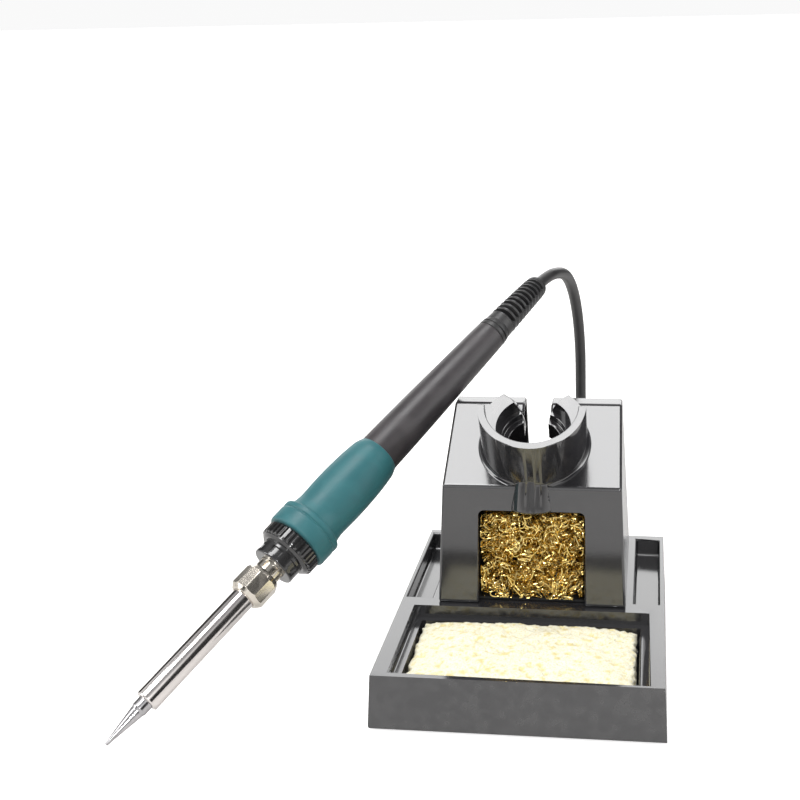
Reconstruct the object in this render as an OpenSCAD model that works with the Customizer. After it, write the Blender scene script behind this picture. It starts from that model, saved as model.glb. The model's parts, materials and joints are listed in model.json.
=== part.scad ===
// Soldering iron station: a bench stand with a sponge tray, a brass wool window and a stepped
// iron holder, and the iron with its cord. Millimetres, +Z up, +Y towards the back of the stand,
// origin on the table at the middle of the stand's base.

/* [Base] */
// Width of the base at its top rim
base_w = 90; // [84:1:112]
// Depth of the base at its top rim, front to back
base_d = 128; // [120:1:160]
// Height of the base rim above the table
base_h = 18.4; // [16:0.2:24]
// Draft of the base walls, in degrees
base_draft = 3.2; // [0:0.2:5]
// Wall thickness of the base moulding
base_wall = 2; // [1.6:0.1:2.4]
// Thickness of the non-slip pad under the base
pad_t = 0.8; // [0.5:0.1:1.5]
// Thickness of the bottom plate
plate_t = 1.2; // [0.8:0.1:1.6]

/* [Sponge tray] */
// Width of the tray at the rim
tray_w = 80; // [70:1:80]
// Depth of the tray at the rim, front to back
tray_d = 53; // [44:1:53]
// Width of the front rim in front of the tray
tray_front = 1.8; // [1.6:0.1:4]
// Depth of the tray's side ledges below the rim
ledge_drop = 4.4; // [3:0.2:6]
// Width of each ledge
ledge_w = 3; // [2:0.2:5]
// Height of the tray's floor above the table
tray_floor = 5.6; // [5:0.2:7]
// Thickness of the sponge
sponge_t = 8; // [6:0.5:9]
// Gap between the sponge and the tray walls
sponge_gap = 1; // [0.5:0.1:2]

/* [Side troughs] */
// Width of each trough beside the tower
trough_w = 8.8; // [6:0.2:8.8]
// Depth of each trough below the rim
trough_depth = 6.5; // [4:0.5:8]
// Width of the rim outside each trough
trough_rim = 1.4; // [1.2:0.1:2]

/* [Tower] */
// Width of the tower where it stands on the base
tower_w = 64; // [60:1:66]
// Distance from the front of the base to the tower's front face
tower_front = 58; // [58:0.5:62]
// Height of the top of the front face above the table
face_h = 60.4; // [56:0.2:74]
// Rise of the sloping face
slope_rise = 21.2; // [18:0.2:26]
// Slope of the upper face, in degrees
slope = 36; // [30:1:42]
// Depth of the flat cap behind the sloping face
cap_d = 8.4; // [6:0.2:10]
// Draft of the tower's side walls, in degrees
side_draft = 2.6; // [0:0.2:4]
// Lean of the tower's front face, in degrees
front_draft = 1.8; // [0:0.2:4]
// Wall thickness of the tower
tower_wall = 2.4; // [2:0.1:3]
// Width of the wool window
window_w = 36; // [30:1:38]
// Height of the wool window above the base rim
window_h = 33.6; // [28:0.2:35]
// Corner radius at the top of the window
window_r = 2; // [1:0.5:4]
// Depth of the box that holds the brass wool
wool_d = 15; // [12:0.5:17]

/* [Iron holder] */
// Outer radius of the holder's collar
holder_r = 18; // [16.5:0.25:18.5]
// Height of the collar's front half above the sloping face
holder_front_h = 21.6; // [16:0.2:26]
// Height of the collar's rear half
holder_rear_h = 9.8; // [8:0.2:12]
// Wall thickness of the front half
holder_wall = 2.5; // [2:0.1:3]
// Radius of the seat that takes the grip's flange
seat_r = 12.7; // [12:0.1:14]
// Radius of the middle step
step_r = 11; // [10.6:0.1:11.6]
// Radius of the lowest step
throat_r = 9; // [8.4:0.1:9.8]
// Half width of the slot at the back of the holder
slot_half = 4.2; // [3:0.1:5]
// How far each side of the slot flares out at the horn tips
horn_w = 7; // [4:0.2:8]
// Height of that flare
horn_h = 11; // [8:0.5:13]
// Fall of the flare towards the back, in degrees
horn_fall = 16; // [0:1:20]
// Width of the bell below the collar, at its lip
bell_w = 13.8; // [10:0.2:16]
// Height of the bell below the top edge of the tower's front
bell_h = 8.8; // [6:0.2:9.2]

/* [Iron] */
// Elevation of the iron as it leans on the tower, in degrees
lean = 31; // [27:0.5:35]
// Heading of the leaning iron from the +X axis, in degrees
heading = 51; // [46:1:56]
// Length of bare tip in front of the sleeve
tip_l = 17.5; // [14:0.5:20]
// Length of bare sleeve
sleeve_l = 45; // [38:0.5:54]
// Radius of the tip sleeve
sleeve_r = 4; // [3.75:0.05:4.2]
// Length of the sleeve nut
nut_l = 10.4; // [9:0.2:12]
// Radius of the sleeve nut across its corners
nut_r = 6.3; // [6.1:0.1:7]
// Length of bare neck behind the nut
neck_l = 3.6; // [2.5:0.1:5]
// Length of the nose boss
boss_l = 5.4; // [4:0.2:7]
// Radius of the nose boss
boss_r = 7.65; // [7.4:0.05:8]
// Length of the ribbed ring
ring_l = 6; // [5:0.2:8]
// Radius of the ribbed ring over its ribs
ring_r = 10.4; // [9.8:0.1:10.8]
// Number of ribs on the ring
ring_ribs = 36; // [24:1:44]
// Length of the grip
grip_l = 43; // [36:1:52]
// Radius of the grip's flange
flange_r = 11.3; // [11:0.1:11.8]
// Length of the grip's flange
flange_l = 8.6; // [6:0.2:10]
// Radius of the grip behind the flange
grip_r = 9.3; // [9:0.1:10]
// Length of the bare handle behind the grip
handle_l = 64; // [56:1:76]
// Radius of the handle behind the grip
handle_front_r = 7.55; // [7.4:0.05:8]
// Radius of the handle at its rear end
handle_rear_r = 5.7; // [5.5:0.1:6.2]
// Wall thickness of the handle
handle_wall = 1.4; // [1.2:0.1:1.6]
// Length of the collar at the handle's rear
collar_l = 4; // [3:0.5:6]

/* [Strain relief and cord] */
// Length of the strain relief along its bend
boot_l = 29; // [24:1:36]
// Bend of the strain relief, in degrees
boot_bend = 27; // [10:1:30]
// Direction of that bend about the iron's axis, in degrees
boot_roll = 51; // [45:1:60]
// Number of ribs on the strain relief
boot_ribs = 11; // [8:1:12]
// Diameter of the cord
cord_d = 4.5; // [4.2:0.1:4.8]
// Radius of the coil at the middle of its turns
coil_r = 25; // [22:0.5:27]
// Turns side by side in the coil
coil_wide = 3; // [2:1:3]
// Layers of turns in the coil
coil_high = 2; // [1:1:2]

/* [Connector] */
// Radius of the connector's coupling ring
plug_ring_r = 8.5; // [8:0.1:9]
// Length of the coupling ring
plug_ring_l = 15; // [12:1:18]
// Length of the connector body
plug_l = 22; // [18:1:26]
// Number of contact pins
pin_count = 5; // [3:1:6]

/* [Hidden] */
$fn = 64;

fit = 0.05;         // radial running clearance of a part that turns
gap = 0.3;          // clearance between loose parts
big = 400;          // longer than any part

// ---- base
front_y = -base_d / 2;
tray_y = front_y + tray_front + tray_d / 2;
inner_w = tray_w - 2 * ledge_w;
inner_d = tray_d - 2 * ledge_w;
shelf_z = base_h - ledge_drop;
plate_top = pad_t + plate_t;
tray_skin = 1.6;

// ---- tower
face_y = front_y + tower_front;
edge_y = face_y + (face_h - base_h) * tan(front_draft);
slope_run = slope_rise / tan(slope);
cap_y = edge_y + slope_run;
tower_h = face_h + slope_rise;
back_y = base_d / 2 - 2.4;
back_lean = atan2(back_y - cap_y - cap_d, tower_h - base_h);
function tower_half(z) = tower_w / 2 - (z - base_h) * tan(side_draft);
boss_spots = [for (x = [-1, 1], y = [face_y + 8, back_y - 9]) [x * (tower_w / 2 - 5.6), y]];

// ---- troughs and the plate's screws below them
trough_x = base_w / 2 - trough_rim - trough_w / 2;
trough_y0 = face_y + 4;
trough_y1 = base_d / 2 - 3.6;
plate_spots = [for (x = [-1, 1], y = [trough_y0 + 8, trough_y1 - 8]) [x * (trough_x - 1), y]];

// ---- holder
spigot_r = holder_r - 4;
spigot_l = 6.5;
throat_z = 1.4;
step_z = 4;
holder_set = 0.034;     // from the top edge of the tower's front up the slope to the collar
holder_y = edge_y + (holder_r + holder_set) * cos(slope);
holder_z = face_h + (holder_r + holder_set) * sin(slope);
horn_reach = sqrt(holder_r * holder_r - (slot_half + horn_w) * (slot_half + horn_w));
horn_y = holder_y + horn_reach * cos(slope) - holder_rear_h * sin(slope);
horn_z = holder_z + holder_rear_h * cos(slope) + horn_reach * sin(slope);
bell_back = 5.4;    // from the front face back to the bell's axis
bell_neck_w = 10;
bell_top = 2.6;

// ---- iron, measured from the end of its tip
sleeve_z = tip_l;
nut_z = sleeve_z + sleeve_l;
neck_z = nut_z + nut_l;
boss_z = neck_z + neck_l;
ring_z = boss_z + boss_l;
grip_z = ring_z + ring_l;
handle_z = grip_z + grip_l;
collar_z = handle_z + handle_l;
boot_z = collar_z + collar_l;
boot_radius = boot_l / (boot_bend * PI / 180);
stem_r = 7.1;       // handle tube inside the grip and the ribbed ring
thread_r = sleeve_r + 1;
seat_hole_r = 2.1;
handle_taper = (handle_front_r - handle_rear_r) / handle_l;
function handle_r(z) = z < handle_z ? stem_r : handle_front_r - (z - handle_z) * handle_taper;

// ---- where the iron leans on the left edge of the tower's cap
tip_end_r = 0.5;
lean_dir = [cos(lean) * cos(heading), cos(lean) * sin(heading), sin(lean)];
edge_normal = [-lean_dir[2], 0, lean_dir[0]] / norm([lean_dir[2], 0, lean_dir[0]]);
lean_reach = tower_h / sin(lean) + 6;
lean_point = [-tower_half(tower_h), cap_y + cap_d / 2, tower_h] + edge_normal * (handle_r(lean_reach) + gap);
tip_rise = tip_end_r * cos(lean);
tip_point = lean_point - lean_dir * (lean_point[2] - tip_rise) / sin(lean);

// ---- cord: route of the stretch that is not coiled, by hand
coil_x = -5;
coil_y = 118;
coil_lift = 0.6;
coil_w = coil_wide * cord_d;
coil_h = coil_high * cord_d;
plug_x = -12;
plug_y = 76;
plug_shell_z = 14;  // where the connector's body starts, from the end of its boot
plug_shell_r = 6.5;
plug_end_z = plug_shell_z + plug_l;
pin_circle_r = 3.4;
pin_r = 0.6;
lead_route = [[-5, 72, 113.4], [-2, 81, 115], [1, 90, 115.5], [4, 101, 113.5], [6, 112, 108], [7.5, 122, 99],
    [8.5, 131, 87], [9, 138, 73], [9, 143.5, 57], [9, 147, 41], [8.5, 149.8, 26], [6.5, 151.6, 14],
    [2, 152.5, 6.5], [-4, 152.5, 3.2]];
tail_route = [[-34.5, 112, 7], [-34.5, 104, 5], [-34, 96, 3.4], [-31.5, 88, 3], [-27, 81.5, 4],
    [-20.5, 77, 6.5], [-12, 76, 8.4]];

module iron_place() {
    translate(tip_point) rotate([0, 90 - lean, heading]) children();
}

module slope_place() {
    translate([0, holder_y, holder_z]) rotate([slope, 0, 0]) children();
}

module plug_place() {
    translate([plug_x, plug_y, plug_ring_r]) rotate([0, 90, 0]) children();
}

// A block with drafted sides; w and d are its sizes at the top, h its height
module drafted(w, d, h, a) {
    grow = h * tan(a);
    intersection() {
        rotate([90, 0, 0]) translate([0, 0, -big / 2]) linear_extrude(big)
            polygon([[-w / 2 - grow, 0], [w / 2 + grow, 0], [w / 2, h], [-w / 2, h]]);
        rotate([90, 0, 90]) translate([0, 0, -big / 2]) linear_extrude(big)
            polygon([[-d / 2 - grow, 0], [d / 2 + grow, 0], [d / 2, h], [-d / 2, h]]);
    }
}

module slab(w, d, z0, z1, y = 0) {
    translate([-w / 2, y - d / 2, z0]) cube([w, d, z1 - z0]);
}

module tube(r, bore, z0, z1) {
    translate([0, 0, z0]) difference() {
        cylinder(r = r, h = z1 - z0);
        translate([0, 0, -1]) cylinder(r = bore, h = z1 - z0 + 2);
    }
}

module screw(r, head_r, l, head_h) {
    difference() {
        union() {
            cylinder(r = head_r, h = head_h);
            cylinder(r = r, h = l);
        }
        for (a = [0, 90]) rotate(a) translate([-head_r * 0.6, -0.3, -1]) cube([head_r * 1.2, 0.6, 1.6]);
    }
}

// ------------------------------------------------------------------ stand

module base_tray() color([0.12, 0.12, 0.13]) {
    intersection() {
        translate([0, 0, pad_t]) drafted(base_w, base_d, base_h - pad_t, base_draft);
        difference() {
            union() {
                difference() {
                    slab(base_w + 20, base_d + 20, 0, base_h);
                    translate([0, 0, pad_t - 1]) drafted(base_w - 2 * base_wall, base_d - 2 * base_wall,
                        base_h - base_wall - pad_t + 1, base_draft);
                }
                slab(tray_w + 2 * tray_skin, tray_d + 2 * tray_skin, shelf_z - tray_skin, base_h, tray_y);
                slab(inner_w + 2 * tray_skin, inner_d + 2 * tray_skin, tray_floor - tray_skin, base_h, tray_y);
                for (s = [-1, 1])
                    translate([s * trough_x - trough_w / 2 - tray_skin, trough_y0 - tray_skin,
                        base_h - trough_depth - tray_skin])
                        cube([trough_w + 2 * tray_skin, trough_y1 - trough_y0 + 2 * tray_skin,
                            trough_depth + tray_skin]);
                for (p = plate_spots)
                    translate([p[0], p[1], plate_top]) cylinder(r = 2.6, h = base_h - trough_depth - plate_top);
            }
            slab(tray_w, tray_d, shelf_z, base_h + 1, tray_y);
            slab(inner_w, inner_d, tray_floor, base_h + 1, tray_y);
            for (s = [-1, 1])
                translate([s * trough_x - trough_w / 2, trough_y0, base_h - trough_depth])
                    cube([trough_w, trough_y1 - trough_y0, trough_depth + 1]);
            tip_well(0);
            for (p = plate_spots) translate([p[0], p[1], 0]) cylinder(r = 1.15, h = 9);
            for (p = boss_spots) translate([p[0], p[1], 0]) cylinder(r = 1.8, h = base_h + 1);
        }
    }
}

// The opening through the base's deck into which the tip of a parked iron reaches
module tip_well(grow) {
    translate([-9 - grow, back_y - 26 - grow, plate_top]) cube([18 + 2 * grow, 21 + 2 * grow, base_h]);
}

module bottom_plate() color([0.35, 0.36, 0.38]) {
    difference() {
        slab(base_w - 2 * base_wall - 0.6, base_d - 2 * base_wall - 0.6, pad_t, plate_top);
        for (p = plate_spots) translate([p[0], p[1], 0]) cylinder(r = 1.4, h = 9);
    }
}

module foot_pad() color([0.2, 0.2, 0.2]) {
    linear_extrude(pad_t) difference() {
        square([base_w - 20, base_d - 12], center = true);
        for (x = [-1, 1], y = [-1, 1])
            translate([x * (base_w / 2 - 10), y * (base_d / 2 - 6)]) rotate(45) square(9, center = true);
    }
}

module ballast() color([0.55, 0.56, 0.58]) {
    translate([-24, face_y + 3, plate_top + 0.1]) cube([48, back_y - face_y - 34, 10]);
}

module plate_screws() color([0.8, 0.8, 0.82]) {
    for (p = plate_spots) translate([p[0], p[1], pad_t - 0.7]) screw(1.1, 2.3, 7.5, 0.7);
}

module tower_profile() {
    polygon([[face_y, base_h], [edge_y, face_h], [cap_y, tower_h], [cap_y + cap_d, tower_h],
        [back_y, base_h]]);
}

module tower_hollow() {
    t = tower_wall;
    drop = t / cos(slope);
    top = tower_h - t;
    back = t / cos(back_lean);
    polygon([[face_y + t, base_h - 1], [edge_y + t, face_h + t * tan(slope) - drop],
        [edge_y + (top - face_h + drop) / tan(slope), top],
        [cap_y + cap_d - back + t * tan(back_lean), top],
        [back_y - back + tan(back_lean), base_h - 1]]);
}

module across(w_low, w_high) {
    rotate([90, 0, 0]) translate([0, 0, -big / 2]) linear_extrude(big)
        polygon([[-w_low / 2, base_h - 1], [w_low / 2, base_h - 1], [w_high / 2, tower_h + 1],
            [-w_high / 2, tower_h + 1]]);
}

module along(w) {
    rotate([90, 0, 90]) translate([0, 0, -w / 2]) linear_extrude(w) children();
}

module tower() color([0.12, 0.12, 0.13]) {
    w_low = 2 * tower_half(base_h - 1);
    w_high = 2 * tower_half(tower_h + 1);
    difference() {
        union() {
            difference() {
                intersection() {
                    along(big) tower_profile();
                    across(w_low, w_high);
                }
                intersection() {
                    along(big) tower_hollow();
                    across(w_low - 2 * tower_wall, w_high - 2 * tower_wall);
                }
            }
            for (p = boss_spots) translate([p[0], p[1], base_h]) cylinder(r = 3.4, h = 12);
        }
        window_cut();
        slope_place() translate([0, 0, -20]) cylinder(r = spigot_r + 0.1, h = 40);
        back_slot();
        for (p = boss_spots) translate([p[0], p[1], base_h - 1]) cylinder(r = 1.25, h = 11);
    }
}

module window_cut() {
    rotate([90, 0, 0]) translate([0, 0, -face_y - 6]) linear_extrude(12) {
        translate([-window_w / 2, base_h - 2]) square([window_w, window_h + 2 - window_r]);
        translate([-window_w / 2 + window_r, base_h - 2]) square([window_w - 2 * window_r, window_h + 2]);
        for (s = [-1, 1]) translate([s * (window_w / 2 - window_r), base_h + window_h - window_r])
            circle(r = window_r);
    }
}

// The slot behind the holder, open at the top and through the back wall
module back_slot() {
    floor_z = face_h + 1;
    translate([-slot_half - 0.4, holder_y, floor_z]) cube([2 * slot_half + 0.8, big, big]);
}

module tower_screws() color([0.8, 0.8, 0.82]) {
    for (p = boss_spots) translate([p[0], p[1], base_h - base_wall - 1.6]) screw(1.5, 2.9, 12, 1.6);
}

module iron_holder() color([0.13, 0.13, 0.14]) {
    difference() {
        slope_place() difference() {
            union() {
                cylinder(r = holder_r, h = holder_rear_h);
                translate([0, 0, -spigot_l]) cylinder(r = spigot_r, h = spigot_l + 1);
                holder_foot();
                difference() {
                    cylinder(r = holder_r, h = holder_front_h);
                    translate([-big / 2, 0, -1]) cube([big, big, big]);
                }
            }
            translate([0, 0, holder_rear_h]) cylinder(r = holder_r - holder_wall, h = 60);
            translate([0, 0, step_z]) cylinder(r = seat_r, h = 60);
            translate([0, 0, throat_z]) cylinder(r = step_r, h = 60);
            translate([0, 0, -20]) cylinder(r = throat_r, h = 60);
        }
        horn_slot();
    }
    holder_bell();
}

// The moulded fillet where the collar meets the sloping face, cut off at the face's ends
module holder_foot() {
    f = 1.4;
    intersection() {
        rotate_extrude() difference() {
            translate([holder_r - 1, 0]) square([f + 1, f]);
            translate([holder_r + f, f]) circle(r = f, $fn = 32);
        }
        translate([-big / 2, -holder_r + 0.6, 0]) cube([big, 2 * holder_r - 1.2, big]);
    }
}

// The slot between the horns: straight and level below, flared out above and falling to the back
module horn_slot() {
    flare_r = (horn_w * horn_w + horn_h * horn_h) / (2 * horn_w);
    below = 4;
    translate([-slot_half, holder_y, 0]) cube([2 * slot_half, big, big]);
    translate([0, horn_y, horn_z]) rotate([-horn_fall, 0, 0]) translate([0, big + holder_y - horn_y, 0])
        rotate([90, 0, 0]) linear_extrude(big) {
            translate([-slot_half, -horn_h - below]) square([2 * slot_half, big]);
            difference() {
                translate([-slot_half - horn_w, -horn_h]) square([2 * (slot_half + horn_w), big]);
                for (s = [-1, 1]) translate([s * (slot_half + flare_r), -horn_h]) circle(r = flare_r);
            }
        }
}

// The bell below the collar: the front part of a cone that widens down the front face to a lip
module holder_bell() {
    lip = 0.8;
    lip_r = sqrt(bell_w * bell_w / 4 + bell_back * bell_back);
    neck_r = sqrt(bell_neck_w * bell_neck_w / 4 + bell_back * bell_back);
    translate([0, edge_y, face_h]) rotate([-front_draft, 0, 0]) intersection() {
        translate([0, bell_back, -bell_h]) {
            cylinder(r1 = lip_r - lip, r2 = lip_r, h = lip);
            translate([0, 0, lip]) cylinder(r1 = lip_r, r2 = neck_r, h = bell_h + bell_top - lip);
        }
        translate([-big / 2, -big, -big / 2]) cube(big);
    }
}

module holder_ring() color([0.2, 0.2, 0.21]) {
    slope_place() difference() {
        translate([0, 0, -tower_wall - 2.4]) cylinder(r = spigot_r + 2.6, h = 2.2);
        translate([0, 0, -20]) cylinder(r = spigot_r + 0.02, h = 40);
        translate([-slot_half - 1, 0, -20]) cube([2 * slot_half + 2, 40, 40]);
    }
}

module wool_box() color([0.1, 0.1, 0.1]) {
    w = window_w + 3.2;
    y0 = edge_y + tower_wall + 0.2;
    z1 = base_h + window_h + 1;
    difference() {
        translate([-w / 2, y0, base_h]) cube([w, wool_d + 1.2, z1 - base_h]);
        translate([-w / 2 + 1.2, y0 - 1, base_h + 1]) cube([w - 2.4, wool_d + 1, z1 - base_h - 2]);
    }
}

module brass_wool() color([0.85, 0.65, 0.2]) {
    y0 = edge_y + 0.6;
    y1 = edge_y + tower_wall + wool_d - gap;
    w = window_w - 2 * gap;
    z0 = base_h + 1 + gap;
    translate([-w / 2, y0, z0]) cube([w, y1 - y0, base_h + window_h - window_r - z0]);
}

module sponge() color([0.95, 0.92, 0.75]) {
    slab(inner_w - 2 * sponge_gap, inner_d - 2 * sponge_gap, tray_floor, tray_floor + sponge_t, tray_y);
}

// ------------------------------------------------------------------ iron

module tip() color([0.7, 0.7, 0.72]) iron_place() {
    cone_l = tip_l * 0.8;
    difference() {
        union() {
            cylinder(r1 = tip_end_r, r2 = 2.25, h = cone_l);
            translate([0, 0, cone_l]) cylinder(r1 = 2.25, r2 = 2.6, h = tip_l - cone_l);
            translate([0, 0, tip_l]) cylinder(r = 2.6, h = 2);
            translate([0, 0, tip_l + 1.6]) cylinder(r = 3.2, h = 26);
        }
        translate([0, 0, tip_l + 4]) cylinder(r = seat_hole_r, h = 30);
    }
}

module tip_sleeve() color([0.85, 0.85, 0.87]) iron_place() {
    round = 1.2;
    bore = 3.35;
    difference() {
        union() {
            rotate_extrude() {
                translate([0, sleeve_z + round]) square([sleeve_r, sleeve_l + 3.2 - round]);
                translate([0, sleeve_z]) square([sleeve_r - round, round + 1]);
                translate([sleeve_r - round, sleeve_z + round]) circle(r = round, $fn = 32);
            }
            translate([0, 0, nut_z + 3.2]) cylinder(r = sleeve_r + 0.8, h = 1.2);
        }
        translate([0, 0, sleeve_z - 1]) cylinder(r = 2.75, h = 5);
        translate([0, 0, sleeve_z + 1.2]) cylinder(r = bore, h = sleeve_l + 10);
    }
}

module sleeve_nut() color([0.8, 0.78, 0.74]) iron_place() {
    facet_n = 10;
    difference() {
        intersection() {
            translate([0, 0, nut_z]) cylinder(r = nut_r + 0.1, h = nut_l, $fn = facet_n);
            rotate_extrude() polygon([[0, nut_z], [nut_r - 1.1, nut_z], [nut_r, nut_z + 1.4],
                [nut_r, nut_z + nut_l - 1.6], [nut_r - 1, nut_z + nut_l], [0, nut_z + nut_l]]);
        }
        translate([0, 0, nut_z - 1]) cylinder(r = sleeve_r + 0.12, h = 10);
        translate([0, 0, nut_z + 3]) cylinder(r = thread_r + fit, h = nut_l);
    }
}

module threaded_neck() color([0.75, 0.74, 0.7]) iron_place() {
    slots = 8;
    difference() {
        union() {
            translate([0, 0, nut_z + 4.6]) cylinder(r = thread_r, h = nut_l - 4.6);
            translate([0, 0, neck_z]) cylinder(r = thread_r - 0.5, h = neck_l + 1);
        }
        translate([0, 0, nut_z]) cylinder(r = 3.6, h = 30);
        for (a = [0 : 360 / slots : 359]) rotate(a)
            translate([thread_r - 1.1, -0.6, neck_z + 0.8]) cube([2, 1.2, neck_l - 1.2]);
    }
}

module heater_rod() color([0.9, 0.88, 0.82]) iron_place() {
    translate([0, 0, tip_l + 5]) cylinder(r = seat_hole_r - 0.15, h = boss_z + 1 - tip_l - 5);
}

module heater_seat() color([0.88, 0.86, 0.8]) iron_place() {
    tube(3.5, seat_hole_r - 0.1, boss_z - 6, boss_z + 1);
    tube(5, seat_hole_r - 0.1, boss_z + 1, boss_z + 3.4);
}

module nose_boss() color([0.08, 0.08, 0.09]) iron_place() {
    difference() {
        union() {
            translate([0, 0, boss_z]) cylinder(r1 = boss_r - 0.5, r2 = boss_r, h = 0.6);
            translate([0, 0, boss_z + 0.6]) cylinder(r = boss_r, h = boss_l - 0.7);
            translate([0, 0, ring_z - 1]) cylinder(r = stem_r - handle_wall - 0.1, h = 8);
        }
        translate([0, 0, boss_z - 1]) cylinder(r = thread_r - 0.5 + 0.02, h = 2);
        translate([0, 0, boss_z + 0.9]) cylinder(r = 5.02, h = 30);
        for (a = [0 : 60 : 300]) rotate(a)
            translate([boss_r - 0.9, -1.5, boss_z + 1.6]) cube([3, 3, boss_l - 3]);
    }
}

module ribbed_ring() color([0.08, 0.08, 0.09]) iron_place() {
    root = ring_r - 0.7;
    difference() {
        union() {
            translate([0, 0, ring_z]) cylinder(r1 = root - 1, r2 = root, h = 1);
            translate([0, 0, ring_z + 1]) cylinder(r = root, h = ring_l - 1.1);
            for (a = [0 : 360 / ring_ribs : 359]) rotate(a)
                translate([root - 0.4, -0.5, ring_z + 1.2]) cube([ring_r - root + 0.4, 1, ring_l - 1.5]);
        }
        translate([0, 0, ring_z - 1]) cylinder(r = stem_r + fit, h = ring_l + 4);
    }
}

module grip() color([0.19, 0.48, 0.48]) iron_place() {
    rear_r = handle_front_r + 0.5;
    round = 2.4;
    difference() {
        rotate_extrude() {
            translate([0, grip_z + 1.2]) square([flange_r, flange_l - 2.4]);
            translate([0, grip_z]) square([flange_r - 1.2, flange_l]);
            for (z = [grip_z + 1.2, grip_z + flange_l - 1.2]) translate([flange_r - 1.2, z]) circle(r = 1.2);
            polygon([[0, grip_z + flange_l], [grip_r + 0.9, grip_z + flange_l], [grip_r, grip_z + flange_l + 4],
                [grip_r + 0.35, grip_z + grip_l * 0.55], [grip_r, handle_z - 9], [rear_r + 0.3, handle_z - round],
                [rear_r, handle_z - 0.6], [rear_r - 0.5, handle_z], [0, handle_z]]);
        }
        translate([0, 0, grip_z - 1]) cylinder(r = stem_r + 0.02, h = grip_l + 2);
        translate([0, 0, grip_z + flange_l - 2.6]) tube(flange_r + 2, flange_r - 0.4, 0, 0.7);
    }
}

module handle_shell() color([0.3, 0.29, 0.3]) iron_place() {
    stem_z = ring_z + 1.2;
    difference() {
        union() {
            translate([0, 0, stem_z]) cylinder(r = stem_r, h = handle_z - stem_z + 0.5);
            translate([0, 0, handle_z + 0.1]) cylinder(r1 = handle_front_r, r2 = handle_rear_r, h = handle_l - 0.1);
        }
        translate([0, 0, stem_z - 1]) cylinder(r = stem_r - handle_wall, h = handle_z - stem_z + 2);
        translate([0, 0, handle_z + 0.9]) cylinder(r1 = stem_r - handle_wall, r2 = handle_rear_r - handle_wall,
            h = handle_l - 8);
        translate([0, 0, collar_z - 9]) cylinder(r = handle_rear_r - handle_wall, h = 20);
    }
}

module terminal_board() color([0.1, 0.4, 0.2]) iron_place() {
    translate([-4, -0.8, grip_z + 16]) cube([8, 1.6, 22]);
}

module heater_leads() color([0.85, 0.8, 0.7]) iron_place() {
    start = boss_z + 3.4;
    for (x = [-3, -1, 1, 3]) translate([x, 1.5, start]) cylinder(r = 0.45, h = grip_z + 24 - start);
}

module earth_spring() color([0.75, 0.75, 0.76]) iron_place() {
    turns = 5;
    pitch = 1.2;
    coil_at = 4.8;
    translate([0, 0, grip_z + 8.2]) {
        for (i = [0 : turns - 1]) translate([0, 0, i * pitch])
            rotate_extrude() translate([coil_at, 0]) circle(r = 0.35, $fn = 16);
        translate([coil_at, 0, 0]) cylinder(r = 0.3, h = (turns - 1) * pitch);
    }
}

module inner_cable() color([0.15, 0.15, 0.15]) iron_place() {
    core_z = grip_z + 38.6;
    translate([0, 0, core_z]) cylinder(r = cord_d / 2, h = boot_z - core_z);
}

module cable_clamp() color([0.2, 0.2, 0.22]) iron_place() {
    tube(handle_rear_r - handle_wall - 0.05, cord_d / 2, collar_z - 8.6, collar_z - 1.6);
}

module rear_collar() color([0.14, 0.14, 0.15]) iron_place() {
    difference() {
        union() {
            translate([0, 0, collar_z + 0.1]) cylinder(r = handle_rear_r, h = collar_l / 2 - 0.4);
            translate([0, 0, collar_z + 0.1]) cylinder(r = handle_rear_r - 0.5, h = collar_l - 0.1);
            translate([0, 0, collar_z + collar_l / 2]) cylinder(r1 = handle_rear_r - 0.1, r2 = handle_rear_r - 0.5,
                h = collar_l / 2);
        }
        translate([0, 0, collar_z - 1]) cylinder(r = cord_d / 2, h = collar_l + 3);
    }
}

// Places its children on the strain relief's bent axis, a degrees round the bend
module boot_station(a) {
    rotate(boot_roll) translate([boot_radius * (1 - cos(a)), 0, boot_z + boot_radius * sin(a)])
        rotate([0, a, 0]) children();
}

module strain_relief() color([0.1, 0.1, 0.1]) iron_place() {
    rib_t = 1.5;
    boot_front_r = handle_rear_r - 0.45;
    rear_r = 4.1;
    step = boot_bend / boot_ribs;
    rotate(boot_roll) translate([boot_radius, 0, boot_z]) rotate([90, 0, 0]) rotate(180 - boot_bend)
        rotate_extrude(angle = boot_bend, $fn = 180) translate([boot_radius, 0]) circle(r = 3.3, $fn = 32);
    for (i = [0 : boot_ribs - 1])
        boot_station(i * step) cylinder(r = boot_front_r - (boot_front_r - rear_r) * i / (boot_ribs - 1), h = rib_t);
    boot_station(boot_bend) translate([0, 0, -0.4]) cylinder(r = rear_r - 0.3, h = 1.6);
}

// ------------------------------------------------------------------ cord and connector

// Sweeps a tube of radius r along points, with n sides
module swept_tube(points, r, n) {
    last = len(points) - 1;
    function along_at(i) = let (d = points[min(i + 1, last)] - points[max(i - 1, 0)]) d / norm(d);
    function side_at(i) = let (s = cross(along_at(i), [1, 0, 0.001])) s / norm(s);
    rings = [for (i = [0 : last]) let (u = side_at(i), v = cross(along_at(i), u))
        for (k = [0 : n - 1]) points[i] + r * (cos(360 * k / n) * u + sin(360 * k / n) * v)];
    sides = [for (i = [0 : last - 1], k = [0 : n - 1])
        [i * n + k, i * n + (k + 1) % n, (i + 1) * n + (k + 1) % n, (i + 1) * n + k]];
    ends = [[for (k = [n - 1 : -1 : 0]) k], [for (k = [0 : n - 1]) last * n + k]];
    polyhedron(rings, concat(sides, ends), convexity = 6);
}

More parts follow.
